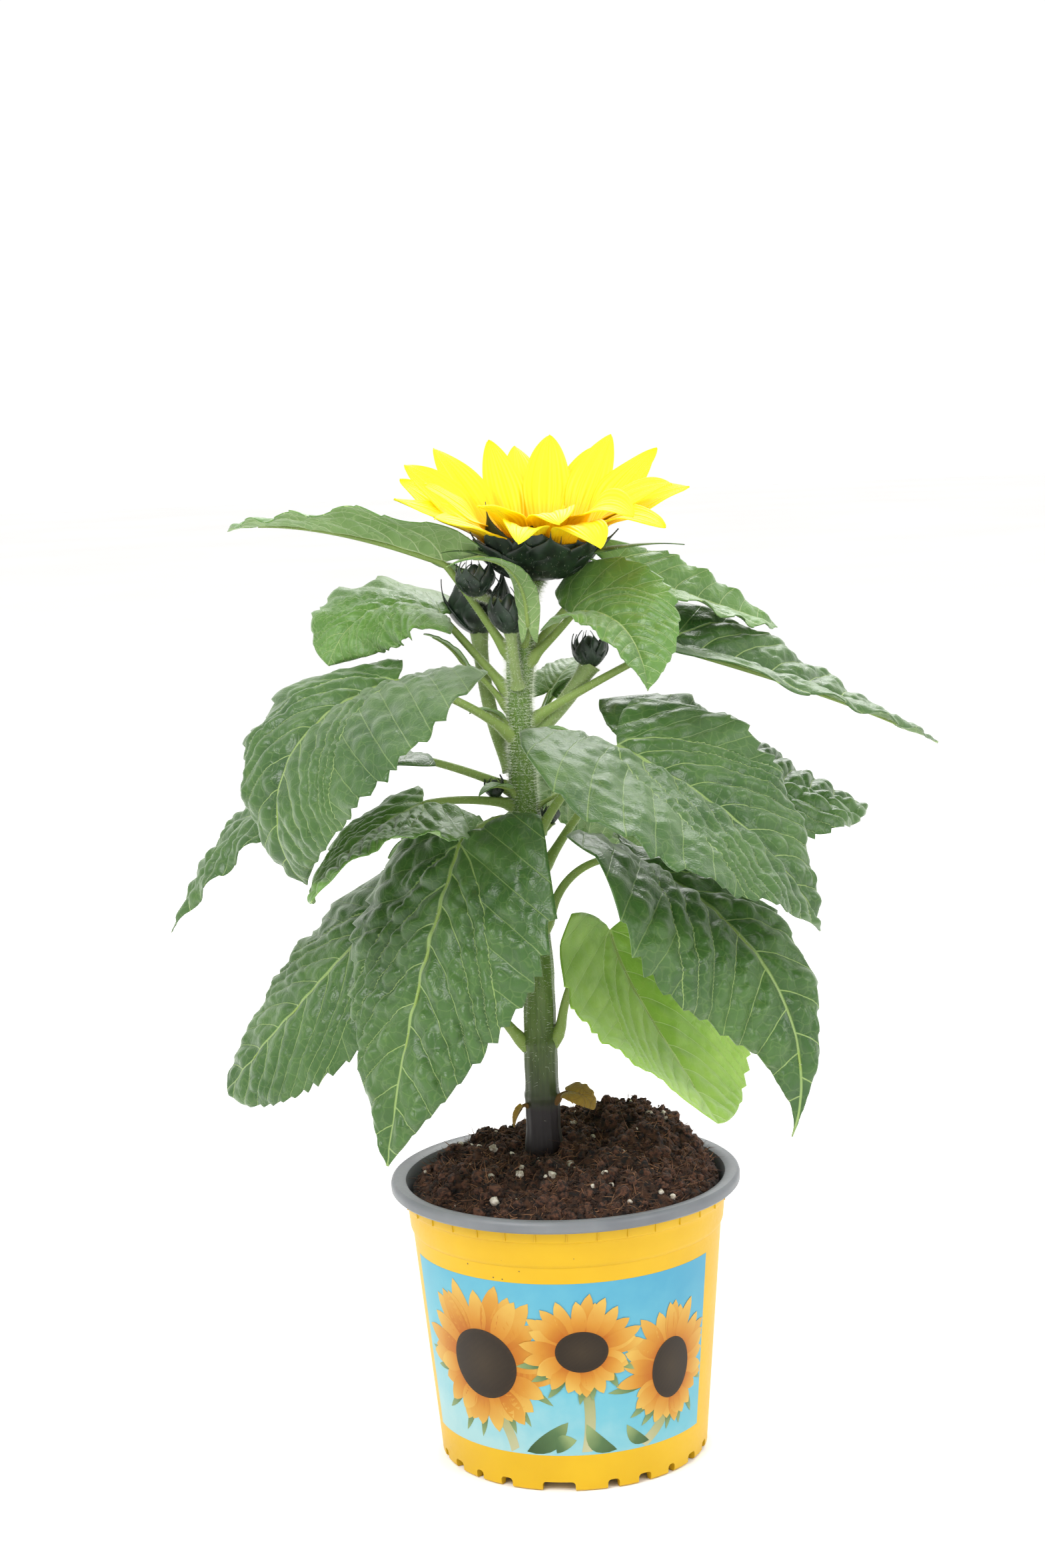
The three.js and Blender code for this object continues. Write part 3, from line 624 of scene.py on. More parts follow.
flowers = [
    {"at": (-36, 47), "disc": (14.2, 13.2), "petal": 19.0, "count": 31, "stem": (-25, 15.2)},
    {"at": (3, 54), "disc": (9.8, 7.8), "petal": 14.0, "count": 29, "stem": (4, 15.2)},
    {"at": (40, 42), "disc": (9.2, 11.6), "petal": 15.0, "count": 29, "stem": (27, 15.2)},
]
for number, flower in enumerate(flowers):
    lift = 0.09 + 0.09 * (2 - abs(number - 1) * 2 + number * 0.4)
    centre = np.array(flower["at"], float)
    wide, tall = flower["disc"]
    foot = (centre[0], centre[1] - tall)
    filmStrips("print", [(foot, flower["stem"], 2.1, np.ones_like, 2.0, 0.1)], printStem, 0.07, 10, 3)
    sepals, petals = [], []
    for i in range(flower["count"]):
        angle = 2 * math.pi * i / flower["count"] + 0.1 * math.sin(i * 5.1 + number)
        heading = np.array([math.cos(angle), math.sin(angle)])
        root = centre + heading * (wide, tall) * 0.86
        droop = 0.72 if heading[1] < -0.2 else 1.0
        length = flower["petal"] * droop * (1 + 0.12 * math.sin(i * 3.7 + number))
        tip = np.clip(root + heading * length, corners[0] + picture["margin"], corners[1] - picture["margin"])
        tone = 0.12 * math.sin(i * 7.9)
        petals.append((root, tip, flower["petal"] * 0.2, petalShape, 0.5 * math.sin(i * 2.9), tone))
        if heading[1] < 0.1 and i % 2:
            leaf = centre + heading * (length * 1.12 + np.array([wide, tall])) + (0, -1.5)
            leaf = np.clip(leaf, corners[0] + picture["margin"], corners[1] - (picture["margin"], 0))
            sepals.append((root, leaf, 1.7, bladeShape, 0.8, 0.1))
    filmStrips("print", sepals, printLeaf, lift)
    filmStrips("print", petals, printPetal, lift + 0.04)
    disc = gridPiece("patch", 20, 20, printDisc)
    grid = pointsOf(disc)
    roundGrid = grid[:, :2] * np.sqrt(1 - 0.5 * grid[:, 1::-1] ** 2)
    reach = np.linalg.norm(roundGrid, axis=1)
    place = centre + roundGrid * (wide, tall)
    placePoints(disc, onWall(place[:, 0], place[:, 1], lift + 0.12))
    speckle = 0.1 * np.sin(grid[:, 0] * 40) * np.cos(grid[:, 1] * 37)
    setUv(disc, "flat", np.stack([reach * 0.7 + speckle, reach], -1))
    films.append(applied(disc, "SOLIDIFY", thickness=picture["film"] * mm, offset=1.0))
groundLeaves = [((-20, 15), (-3, 27), 3.6, bladeShape, -2, 0.0), ((16, 15), (4, 26), 3.2, bladeShape, 3, 0.2),
                ((-8, 15), (0, 20), 3.0, bladeShape, 2, 0.3), ((30, 16), (20, 24), 2.4, bladeShape, 2, 0.2)]
filmStrips("print", groundLeaves, printLeaf, 0.1)
finished(smooth(joined("pot_picture", films), 40), "pot_plastic")
print("picture made")


# peat: a mound, higher to the right and the back, with crumbs, clods, fibres and perlite grains on it
peat = {"edge": 100, "mound": 14, "lean": 0.05, "radius": 57.0, "cells": 190, "depth": 20, "crumbs": 4600,
        "clods": 420, "fibres": 3600, "grains": 85}


def peatHeight(x, y):
    share = np.clip(np.hypot(x, y) / peat["radius"], 0, 1)
    high = peat["edge"] + peat["mound"] * (1 - share ** 4)
    high = high + 1.3 * np.sin(x * 0.21 + 1) * np.cos(y * 0.19) * (1 - share ** 6)
    high = high + peat["lean"] * (0.8 * x + 0.6 * y) * (1 - share ** 8)
    points = np.stack([x, y, x * 0], -1)
    high = high + 9.0 * np.exp(-((x - 27) ** 2 + (y - 20) ** 2) / 620)
    high = high - 2.5 * np.exp(-((x + 8) ** 2 + (y + 28) ** 2) / 500)
    clods = cloud(points, 9.0) * 4.2 + cloud(points, 3.8, 4.0) * 2.6 + cloud(points, 1.7, 9.0) * 1.3
    edge = 1 - 0.75 * share ** 10
    gap = 5.5 * np.exp(-((x + 20) ** 2 / 420 + (y - 52) ** 2 / 60))
    stemFoot = np.exp(-((x + 7.5) ** 2 + y ** 2) / 160)
    return high + clods * edge * (1 - 0.6 * stemFoot) - 1.6 * stemFoot - gap


ground = gridPiece("peat", peat["cells"], peat["cells"], peatMoss)
grid = pointsOf(ground)[:, :2]
plan = grid * np.sqrt(1 - 0.5 * grid[:, ::-1] ** 2) * peat["radius"]
placePoints(ground, np.column_stack([plan, peatHeight(plan[:, 0], plan[:, 1])]) * mm)
choose(ground)
bpy.ops.object.mode_set(mode="EDIT")
bpy.ops.mesh.select_mode(type="EDGE")
bpy.ops.mesh.select_all(action="DESELECT")
bpy.ops.mesh.select_non_manifold()
bpy.ops.mesh.extrude_region_move(TRANSFORM_OT_translate={"value": (0, 0, -peat["depth"] * mm)})
bpy.ops.transform.resize(value=(0.83, 0.83, 1), center_override=(0, 0, 0))
bpy.ops.transform.resize(value=(1, 1, 0), center_override=(0, 0, 5 * mm))
bpy.ops.mesh.edge_face_add()
bpy.ops.object.mode_set(mode="OBJECT")
cleaned(ground, 0.01 * mm)
smooth(ground)


def discPlaces(count, reach):
    angle = chance.uniform(0, 2 * math.pi, count)
    radius = np.sqrt(chance.uniform(0, 1, count)) * peat["radius"] * reach
    return radius * np.cos(angle), radius * np.sin(angle)


# small uneven balls, each turned and stretched its own way
def lumps(name, levels, centres, sizes, stretch, material):
    deselectAll()
    bpy.ops.mesh.primitive_ico_sphere_add(subdivisions=levels, radius=1)
    template = named("template")
    shape = pointsOf(template)
    sets = []
    for centre, size in zip(centres, sizes):
        w, x, y, z = unit(chance.normal(size=4))
        spin = np.array([[1 - 2 * (y * y + z * z), 2 * (x * y - w * z), 2 * (x * z + w * y)],
                         [2 * (x * y + w * z), 1 - 2 * (x * x + z * z), 2 * (y * z - w * x)],
                         [2 * (x * z - w * y), 2 * (y * z + w * x), 1 - 2 * (x * x + y * y)]])
        form = shape * size * chance.uniform(*stretch, 3) * (1 + chance.uniform(-0.22, 0.22, (len(shape), 1)))
        sets.append((form @ spin.T + centre) * mm)
    return repeated(name, template, sets, material)


x, y = discPlaces(peat["crumbs"], 0.985)
centres = np.column_stack([x, y, peatHeight(x, y) + chance.uniform(-0.3, 0.7, len(x))])
crumbs = lumps("peat_crumbs", 1, centres, chance.uniform(0.35, 1.2, len(x)) ** 1.4, (0.6, 1.3), peatMoss)
x, y = discPlaces(peat["clods"], 0.93)
centres = np.column_stack([x, y, peatHeight(x, y) + 0.2])
clods = lumps("peat_clods", 2, centres, chance.uniform(1.0, 2.9, len(x)), (0.55, 1.15), peatCoir)
x, y = discPlaces(peat["grains"], 0.95)
centres = np.column_stack([x, y, peatHeight(x, y) + 0.5])
grains = lumps("peat_perlite", 2, centres, chance.uniform(0.5, 1.7, len(x)), (0.7, 1.2), perliteGrain)


# thin bent three-sided needles, for threads of peat and for hairs
def needles(name, bases, directions, lengths, radii, bends, material):
    deselectAll()
    bpy.ops.mesh.primitive_cone_add(vertices=3, radius1=1, radius2=0, depth=1)
    template = named("template")
    bpy.ops.object.mode_set(mode="EDIT")
    bpy.ops.mesh.select_all(action="SELECT")
    bpy.ops.mesh.bisect(plane_co=(0, 0, 0), plane_no=(0, 0, 1))
    bpy.ops.object.mode_set(mode="OBJECT")
    shape = pointsOf(template)
    directions = unit(directions)
    side = unit(np.cross(directions, chance.normal(size=directions.shape)))
    other = np.cross(directions, side)
    level = shape[:, 2] + 0.5
    radii = np.asarray(radii, float)
    sets = (bases[:, None] + directions[:, None] * (level[None, :, None] * lengths[:, None, None])
            + side[:, None] * (shape[None, :, 0, None] * radii[:, None, None])
            + other[:, None] * (shape[None, :, 1, None] * radii[:, None, None])
            + bends[:, None] * (level[None, :, None] ** 2 * lengths[:, None, None]))
    return repeated(name, template, sets * mm, material)


x, y = discPlaces(peat["fibres"], 0.97)
base = np.column_stack([x, y, peatHeight(x, y) + 0.2])
aim = np.column_stack([chance.normal(size=(len(x), 2)), chance.uniform(-0.1, 0.6, len(x))])
lengths, radii = chance.uniform(1.5, 6.5, len(x)), chance.uniform(0.1, 0.28, len(x))
bends = chance.normal(scale=0.35, size=(len(x), 3))
threads = needles("peat_threads", base, aim, lengths, radii, bends, peatFibre)
finished(joined("peat", [ground, crumbs]), "peat", "soil")
finished(joined("peat_fibres", [clods, threads]), "peat")
finished(smooth(grains, 60), "peat")
print("peat made")


# stem: rows of height, place to the right, and radius
stemRows = np.array([(115, -7.5, 7.0), (122, -7.5, 6.4), (155, -7.5, 6.0), (180, -7.0, 5.6),
                     (241, -10.0, 5.0), (279, -10.5, 4.7), (309, -8.5, 4.2), (325, -4.0, 3.7)])
stem = {"foot": 104, "tip": 328, "rings": 200, "sides": 64,
        "hairs": 15000, "hairLength": 2.5, "hairRadius": 0.05,
        "swellings": [(154, 0.65, 2.2), (134, 0.4, 1.3), (240, 0.5, 7), (300, 0.6, 9)]}


def stemAt(height):
    height = np.asarray(height, float)
    right = np.interp(height, stemRows[:, 0], stemRows[:, 1])
    return np.stack([right, 0 * right, height], -1), np.interp(height, stemRows[:, 0], stemRows[:, 2])


# a grid rolled into a closed tube, both ends filled
def rolledPiece(name, rings, sides, surface, *materials):
    piece = gridPiece(name, rings, sides, *materials)
    grid = pointsOf(piece)
    placePoints(piece, surface((grid[:, 0] + 1) / 2, (grid[:, 1] + 1) * math.pi) * mm)
    cleaned(piece, 0.01 * mm)
    bpy.ops.object.mode_set(mode="EDIT")
    bpy.ops.mesh.select_mode(type="EDGE")
    bpy.ops.mesh.select_all(action="DESELECT")
    bpy.ops.mesh.select_non_manifold()
    bpy.ops.mesh.fill_holes(sides=0)
    bpy.ops.mesh.select_all(action="SELECT")
    bpy.ops.mesh.normals_make_consistent(inside=False)
    bpy.ops.object.mode_set(mode="OBJECT")
    return smooth(piece, 60)


def stemSurface(s, angle):
    height = stem["foot"] + (stem["tip"] - stem["foot"]) * s
    centre, radius = stemAt(height)
    swell = sum(high * np.exp(-((height - at) / spread) ** 2) for at, high, spread in stem["swellings"])
    ribbing = 0.13 * np.sin(angle * 11 + height * 0.012) + 0.06 * np.sin(angle * 23 + height * 0.02)
    flare = 2.0 * smoothStep((height - 320) / 9)
    reach = radius + swell + ribbing + flare + 0.12 * np.sin(height * 0.35 + 2 * angle)
    return centre + np.stack([reach * np.cos(angle), reach * np.sin(angle), 0 * reach], -1)


stemPiece = rolledPiece("stem_skin", stem["rings"], stem["sides"], stemSurface, stemSkin)
finished(stemPiece, "stem", "stem")


# hairs grown from faces of a piece, chosen by their area
def hairsOn(name, piece, count, length, radius, keep=None):
    faces = piece.data.polygons
    areas = np.array([f.area for f in faces])
    centres = np.array([f.center for f in faces]) / mm
    normals = np.array([f.normal for f in faces])
    if keep is not None:
        areas = areas * keep(centres)
    picks = chance.choice(len(areas), count, p=areas / areas.sum())
    jitter = np.sqrt(areas[picks] / mm / mm)[:, None] * chance.uniform(-0.4, 0.4, (count, 3))
    jitter -= normals[picks] * np.sum(jitter * normals[picks], 1, keepdims=True)
    aim = normals[picks] + chance.normal(scale=0.35, size=(count, 3))
    bases = centres[picks] + jitter - normals[picks] * 0.1
    return needles(name, bases, aim, chance.uniform(0.5, 1.1, count) * length, np.full(count, radius),
                   chance.normal(scale=0.12, size=(count, 3)), paleHair)


stemHair = hairsOn("stem_hairs", stemPiece, stem["hairs"], stem["hairLength"], stem["hairRadius"],
                   lambda c: smoothStep((c[:, 2] - 120) / 170) ** 1.5 + 0.02 * (c[:, 2] > 136))
finished(stemHair, "stem")
print("stem made")


# a course is a line whose pitch and heading change evenly
def courseOf(start, heading, pitchStart, pitchEnd, length, turn=0.0, bend=1.0):
    steps = 40
    share = np.linspace(0, 1, steps + 1)
    middle = (share[1:] + share[:-1]) / 2
    yaw, yawMid = [np.radians(heading + turn * part) for part in (share, middle)]
    rise = pitchEnd - pitchStart
    pitch, pitchMid = [np.radians(pitchStart + rise * part ** bend) for part in (share, middle)]
    moves = direction(yawMid, pitchMid) * length / steps
    points = np.vstack([np.zeros(3), np.cumsum(moves, 0)]) + np.asarray(start, float)
    return {"share": share, "point": points, "yaw": yaw, "pitch": pitch}


# points on a course, with its own axes: along, left and up
def stationsOn(course, share):
    share = np.clip(share, 0, 1)
    yaw = np.interp(share, course["share"], course["yaw"])
    pitch = np.interp(share, course["share"], course["pitch"])
    point = np.stack([np.interp(share, course["share"], course["point"][:, k]) for k in range(3)], -1)
    along = direction(yaw, pitch)
    left = np.stack([-np.sin(yaw), np.cos(yaw), 0 * yaw], -1)
    return point, along, left, np.cross(along, left)


# leaves, in millimetres and degrees. at: height and azimuth on the stem; stalk: length, pitch at root and
# end, turn; blade: length, half width, pitch at base and tip, turn; roll at base and tip; fold and curl of the
# left and right half; form: bend, point, fullness; lobes: width of the left and right half.
leafLooks = {"thickness": 0.42, "teeth": 14, "toothDepth": 0.08, "ripple": 1.35, "stalkRadius": 1.75,
             "hairLength": 1.0, "hairRadius": 0.035, "hairsPerMm": 14, "grid": (116, 72)}
mature, young, old = (matureLeaf, matureUnder), (youngLeaf, youngUnder), (oldLeaf, oldUnder)
dry = (dryLeaf, dryLeaf)
plainLeaf = {"skin": mature, "lobes": (1, 1)}
leaves = [
    {"name": "leaf_left_top", "at": (301, 184), "stalk": (38, 60, 54, 0), "blade": (94, 24, 22, -10, -56),
     "roll": (0, -10), "fold": (46, -6), "curl": (-10, -5), "form": (1.2, 1.1, 2.0), "skin": young,
     "pucker": 0.9, "wave": 1.6},
    {"name": "leaf_left_upper", "at": (287, 167), "stalk": (34, 50, 50, 10), "blade": (52, 33, 30, -70, 40),
     "roll": (-12, -25), "fold": (14, 8), "curl": (-16, -16), "form": (1, 0.9, 2.4), "lobes": (1.05, 1),
     "skin": young, "pucker": 0.8, "wave": 1.2},
    {"name": "leaf_left_front", "at": (271, 214), "stalk": (51, 37, 16, 0),
     "blade": (100, 46, -10, -142, 0), "roll": (-12, -10), "fold": (24, 12), "curl": (-16, -36),
     "form": (1.6, 1.1, 2.1), "lobes": (1.5, 0.8), "pucker": 1.0, "wave": 1.2},
    {"name": "leaf_left_far", "at": (250, 178), "stalk": (44, 25, 13, 10), "blade": (110, 30, 5, -62, -20),
     "roll": (4, -10), "fold": (8, 28), "curl": (-32, -28), "form": (0.6, 1.1, 2.2), "lobes": (1.1, 1),
     "pucker": 1.2, "wave": 2.0},
    {"name": "leaf_front", "at": (238, 243), "stalk": (38, 20, -28, -15), "blade": (116, 46, -60, -82, -22),
     "roll": (6, -30), "fold": (-6, -3), "curl": (-16, -12), "form": (1, 1.1, 1.6), "lobes": (1.1, 1.08),
     "pucker": 1.7, "wave": 0.9},
    {"name": "leaf_left_middle", "at": (244, 200), "stalk": (35, 14, -2, 14),
     "blade": (70, 34, -14, -27, 42), "roll": (-8, 52), "fold": (-5, 4), "curl": (-15, -32),
     "form": (1, 1.1, 2.1), "lobes": (1.1, 1), "skin": young, "pucker": 0.9, "wave": 1.0},
    {"name": "leaf_left_low", "at": (156, 187), "stalk": (70, 54, 40, 0), "blade": (97, 34, -46, -46, -48),
     "roll": (-20, -58), "fold": (-8, 5), "curl": (-32, -16), "form": (1, 0.6, 2.2), "lobes": (1.05, 1),
     "pucker": 0.9, "wave": 0.8},
    {"name": "leaf_right_front", "at": (234, 320), "stalk": (52, 56, 26, -7),
     "blade": (102, 45, -20, -72, 62), "roll": (16, 34), "fold": (12, 26), "curl": (-2, -8),
     "form": (1.5, 1.1, 2.1), "lobes": (0.88, 1.4), "pucker": 1.2, "wave": 1.2},
    {"name": "leaf_right_far", "at": (221, 12), "stalk": (50, 57, 46, -14),
     "blade": (108, 36, -14, -18, 52), "roll": (38, 20), "fold": (14, 5), "curl": (-15, -20),
     "form": (1, 1, 2.3), "lobes": (1.05, 1), "pucker": 1.5, "wave": 1.4},
    {"name": "leaf_right_upper", "at": (275, 3), "stalk": (55, 29, 24, 0), "blade": (124, 27, -19, -25, 40),
     "roll": (4, 4), "fold": (52, 12), "curl": (-19, -18), "form": (1, 1.1, 2.0), "pucker": 1.1,
     "wave": 1.6},
    {"name": "leaf_right_top", "at": (301, 6), "stalk": (39, 53, 37, 0), "blade": (82, 16, -23, -17, 50),
     "roll": (-3, 34), "fold": (50, -7), "curl": (10, 4), "form": (1, 1, 2.3), "skin": young, "pucker": 0.9,
     "wave": 2.2},
    {"name": "leaf_centre_top", "at": (298, 330), "stalk": (23, 40, 42, -12),
     "blade": (62, 26, 28, -48, -46), "roll": (26, -18), "fold": (36, 24), "curl": (0, -7),
     "form": (0.5, 1.1, 2.1), "lobes": (0.95, 0.7), "skin": young, "pucker": 0.6, "wave": 0.8},
    {"name": "leaf_right_low", "at": (201, 322), "stalk": (48, 76, -8, 11),
     "blade": (126, 42, -25, -115, -18), "roll": (-6, 68), "fold": (15, 22), "curl": (-40, -30),
     "form": (1.7, 1.4, 1.4), "lobes": (0.68, 1.3), "pucker": 1.4, "wave": 1.0},
    {"name": "leaf_right_lowest", "at": (158, 343), "stalk": (46, 85, 39, -11),
     "blade": (83, 42, -92, -38, -31), "roll": (24, -27), "fold": (21, 15), "curl": (2, 7),
     "form": (0.35, 0.65, 2.1), "lobes": (1.08, 1.06), "skin": old, "pucker": 0.5, "wave": 0.5},
    {"name": "leaf_narrow", "at": (303, 288), "stalk": (15, 24, 33, -27), "blade": (50, 5.5, 86, -25, -75),
     "roll": (0, 0), "fold": (20, 30), "curl": (0, 0), "form": (1.1, 1, 1.8), "skin": young, "pucker": 0.4,
     "wave": 0.6},
    {"name": "leaf_back_low", "at": (212, 112), "stalk": (42, 45, 5, 0), "blade": (92, 34, -25, -75, 15),
     "roll": (0, 10), "fold": (10, 10), "curl": (-20, -20), "form": (1, 1.1, 2.1), "pucker": 1.2,
     "wave": 1.2},
    {"name": "leaf_back_right", "at": (226, 68), "stalk": (44, 45, 10, 0), "blade": (84, 32, -15, -65, -15),
     "roll": (0, -8), "fold": (12, 8), "curl": (-18, -20), "form": (1, 1.1, 2.1), "pucker": 1.2,
     "wave": 1.2},
    {"name": "leaf_back_centre", "at": (263, 55), "stalk": (24, 58, 50, 0), "blade": (34, 11, 40, -10, 20),
     "roll": (0, 0), "fold": (15, 15), "curl": (-15, -15), "form": (1, 1, 2.0), "skin": young,
     "pucker": 0.6, "wave": 0.8},
    {"name": "leaf_dead", "at": (134, 330), "stalk": (4, 40, 20, 0), "blade": (13, 5.0, 15, -75, 20),
     "roll": (20, 50), "fold": (25, 15), "curl": (-30, -40), "form": (1, 0.8, 2.2), "skin": dry,
     "pucker": 0.5, "wave": 1.2},
]
# leaflets in the axils, which carry no collision of their own
plainLeaflet = {"roll": (0, 0), "fold": (20, 20), "curl": (0, 0), "form": (1, 1, 2.0), "lobes": (1, 1),
                "skin": young, "pucker": 0.2, "wave": 0.3}
leaflets = [
    {"name": "leaflet_left", "at": (281, 175), "stalk": (20, 55, 40, 0), "blade": (19, 6, 60, 10, -20),
     "roll": (10, 20), "curl": (-10, -10), "pucker": 0.3, "wave": 0.5},
    {"name": "leaflet_stem_left", "at": (274, 205), "stalk": (3, 50, 40, 0),
     "blade": (13, 3.4, 45, -25, 0)},
    {"name": "leaflet_stem_right", "at": (269, 320), "stalk": (3, 30, 20, 0),
     "blade": (14, 3.2, 25, -20, 20), "fold": (15, 15)},
    {"name": "leaflet_low_left", "at": (249, 225), "stalk": (3, 40, 20, 0), "blade": (15, 3.6, 25, -35, 0)},
    {"name": "leaflet_low_right", "at": (243, 350), "stalk": (14, 30, 20, 0),
     "blade": (12, 3.2, 10, -20, 0), "fold": (15, 15)},
    {"name": "leaflet_behind", "at": (262, 55), "stalk": (10, 65, 60, 0), "blade": (26, 8, 62, 15, -40),
     "roll": (-30, -50), "fold": (15, 15), "curl": (-10, -10), "pucker": 0.5, "wave": 0.6},
    {"name": "leaflet_scar", "at": (131, 205), "stalk": (2, 10, -40, 0), "blade": (8, 2.2, -50, -80, 0),
     "fold": (30, 30), "curl": (20, 20), "skin": dry, "pucker": 0.3, "wave": 0.6},
]


# left and up turned about the course, from the first roll to the last
def rolledAxes(left, up, first, last, share):
    roll = np.radians(first + (last - first) * share)[..., None]
    cosine, sine = np.cos(roll), np.sin(roll)
    return left * cosine + up * sine, up * cosine - left * sine


# the blade with its lobes, teeth, fold and curl, and each point's place along and across it
def bladePoints(leaf, rib, s, t, number):
    length, halfWidth = leaf["blade"][:2]
    _, point, fullness = leaf["form"]
    side = np.abs(t)
    lobe = np.where(t > 0, *leaf["lobes"])
    backSet = -0.13 * np.exp(-s / 0.05) + 0.16 * (1 - s) * (1 - np.exp(-s / 0.08))
    outline = (1 - 0.42 * np.exp(-s / 0.05)) * np.clip(1 - s ** fullness, 0, 1) ** point
    half = halfWidth / length * lobe * outline
    teeth = leafLooks["teeth"] * min(1, (length / 90) ** 0.5)
    place = s * teeth + 0.25 * np.sin(9 * s + number) + np.where(t > 0, 0.0, 0.5)
    depth = leafLooks["toothDepth"] * (1 + 0.4 * np.sin(17 * s + 3 * number))
    depth = depth * smoothStep(s / 0.12) * smoothStep((1 - s) / 0.14)
    toothed = 1 + depth * (place % 1 - 0.6) * side ** 6
    x = s + backSet * (1 - (1 - side) ** 2)
    y = half * side * toothed
    point, along, left, up = stationsOn(rib, x)
    inside = np.clip(x, 0, 1)
    left, up = rolledAxes(left, up, *leaf["roll"], inside)
    fold = np.radians(np.where(t > 0, *leaf["fold"])) * (1 - 0.65 * inside)
    curl = np.radians(np.where(t > 0, *leaf["curl"])) * side
    parts = [fold + curl * (k + 0.5) / 5 for k in range(5)]
    across = sum(np.cos(a) for a in parts) / 5
    rise = sum(np.sin(a) for a in parts) / 5
    points = (point + along * (np.minimum(x, 0) * length)[..., None]
              + left * (y * across * np.sign(t) * length)[..., None] + up * (y * rise * length)[..., None])
    return points, x, y * np.sign(t)


# how far the tissue stands up between the veins, 0 on a vein and 1 in the middle of a field
def quilting(x, y, length, number):
    out = np.abs(y)
    sweep = x - veinForm["slant"] * out - veinForm["curve"] * out ** 2
    phase = sweep / veinForm["spacing"] + np.clip(sweep / 0.15, 0, 1) * veinForm["stagger"] * (y > 0)
    near = np.abs(phase - np.round(phase))
    field = 1 - (1 - 2 * near) ** 2
    fan = (x + veinForm["fan"] * out) / veinForm["fanSpacing"]
    fanField = 1 - (1 - 2 * np.abs(fan - np.round(fan))) ** 2
    field = np.where(sweep < -0.01, 0.7 * fanField, field)
    ribField = 1 - np.exp(-(out / 0.022) ** 2)
    flat = np.stack([x * length / 7.5, y * length / 7.5, 0 * x + number * 3.7], -1).reshape(-1, 3)
    cells = np.array([noise.voronoi(Vector(p))[0][:2] for p in flat])
    crumple = np.clip((cells[:, 1] - cells[:, 0]) / 0.4, 0, 1).reshape(x.shape)
    return field * ribField, crumple * ribField


def leafPiece(leaf, number):
    name = leaf["name"]
    stalkLength, pitchStart, pitchEnd, stalkTurn = leaf["stalk"]
    length, halfWidth, bladeStart, bladeEnd, bladeTurn = leaf["blade"]
    height, azimuth = leaf["at"]
    stalkRadius = min(leafLooks["stalkRadius"], halfWidth * 0.12 + 0.5)
    centre, stemRadius = stemAt(height)
    reach = stemRadius + 0.35 + min(1.7, halfWidth * 0.12 + 0.5) * abs(math.sin(math.radians(pitchStart)))
    root = centre + direction(math.radians(azimuth), 0.0) * reach
    stalk = courseOf(root, azimuth, pitchStart, pitchEnd, stalkLength, stalkTurn)
    bend = leaf["form"][0]
    rib = courseOf(stalk["point"][-1], azimuth + stalkTurn, bladeStart, bladeEnd, length, bladeTurn, bend)

    fine = 1.0 if length > 60 else 0.5
    piece = gridPiece(name, *[int(cells * fine) for cells in leafLooks["grid"]], *leaf["skin"])
    s, t = gridShares(piece)
    s = s ** 1.15
    points, x, y = bladePoints(leaf, rib, s, t, number)
    normal = unit(np.cross(np.gradient(points, axis=1), np.gradient(points, axis=0)))
    normal[:, -1] = normal[:, -3]
    field, crumple = quilting(x, y, length, number)
    side = np.abs(t)
    size = min(1, halfWidth / 30)
    calm = 1 - side ** 8
    swell = cloud(points.reshape(-1, 3), 24.0, number).reshape(s.shape) * 1.6 * size
    ripple = np.sin(2 * math.pi * (4.3 * s + 0.31 * number) + 2.0 * (t > 0)) * side ** 3
    ripple = ripple * leafLooks["ripple"] * leaf["wave"] * size * smoothStep(s / 0.1) * (1 - s ** 4)
    dents = cloud(points.reshape(-1, 3), 6.5, number + 5.0).reshape(s.shape)
    lift = leaf["pucker"] * size * (1.15 * field + 0.95 * crumple * (0.4 + 0.6 * field) + 0.9 * dents) * calm
    lift = lift + swell * (0.3 + 0.7 * side) + ripple
    points = points + normal * lift[..., None]
    # how far the tissue stands up is kept for the material, which paints it lighter there and darker in the
    # grooves: painted light and shade
    puff = piece.data.attributes.new("puff", "FLOAT", "POINT")
    puff.data.foreach_set("value", (field * 0.5 + crumple * 0.5).astype(np.float32).ravel())
    thickened(piece, points, [x, y], leafLooks["thickness"], material_offset=1, use_quality_normals=True)

    # the stalk grows out of the stem, and runs on under the blade as its midrib
    below, lowRadius = stemAt(height - 4.5 * math.sin(math.radians(pitchStart)))
    inward = below + direction(math.radians(azimuth), 0.0) * (lowRadius - 1.5)
    ribShare = np.linspace(0.02, 0.8, 26)
    ribPoint, _, ribLeft, ribUp = stationsOn(rib, ribShare)
    ribUp = rolledAxes(ribLeft, ribUp, *leaf["roll"], ribShare)[1]
    ribRadius = stalkRadius * (0.62 - 0.5 * ribShare)
    ribPoint = ribPoint - ribUp * (ribRadius * 0.75)[:, None]
    line = np.vstack([inward, stalk["point"][::2], ribPoint])
    for _ in range(2):
        line[1:-1] = 0.5 * line[1:-1] + 0.25 * (line[:-2] + line[2:])
    stalkShare = np.linspace(0, 1, 21)
    stalkRadii = stalkRadius * (1 - 0.3 * stalkShare + 0.55 * np.exp(-stalkShare / 0.06))
    radii = np.concatenate([[stalkRadius * 1.6], stalkRadii, ribRadius])
    isDry = leaf["skin"] == dry
    tube = tubePiece(name + "_stalk", line, radii, dryLeaf if isDry else stalkSkin)
    pieces = [piece, tube]
    hairCount = int(stalkLength * leafLooks["hairsPerMm"])
    if hairCount > 60 and not isDry:  # the shortest stalks are bare
        pieces.append(hairsOn("hairs", tube, hairCount, leafLooks["hairLength"], leafLooks["hairRadius"]))
    return joined(name + "_blade", pieces)


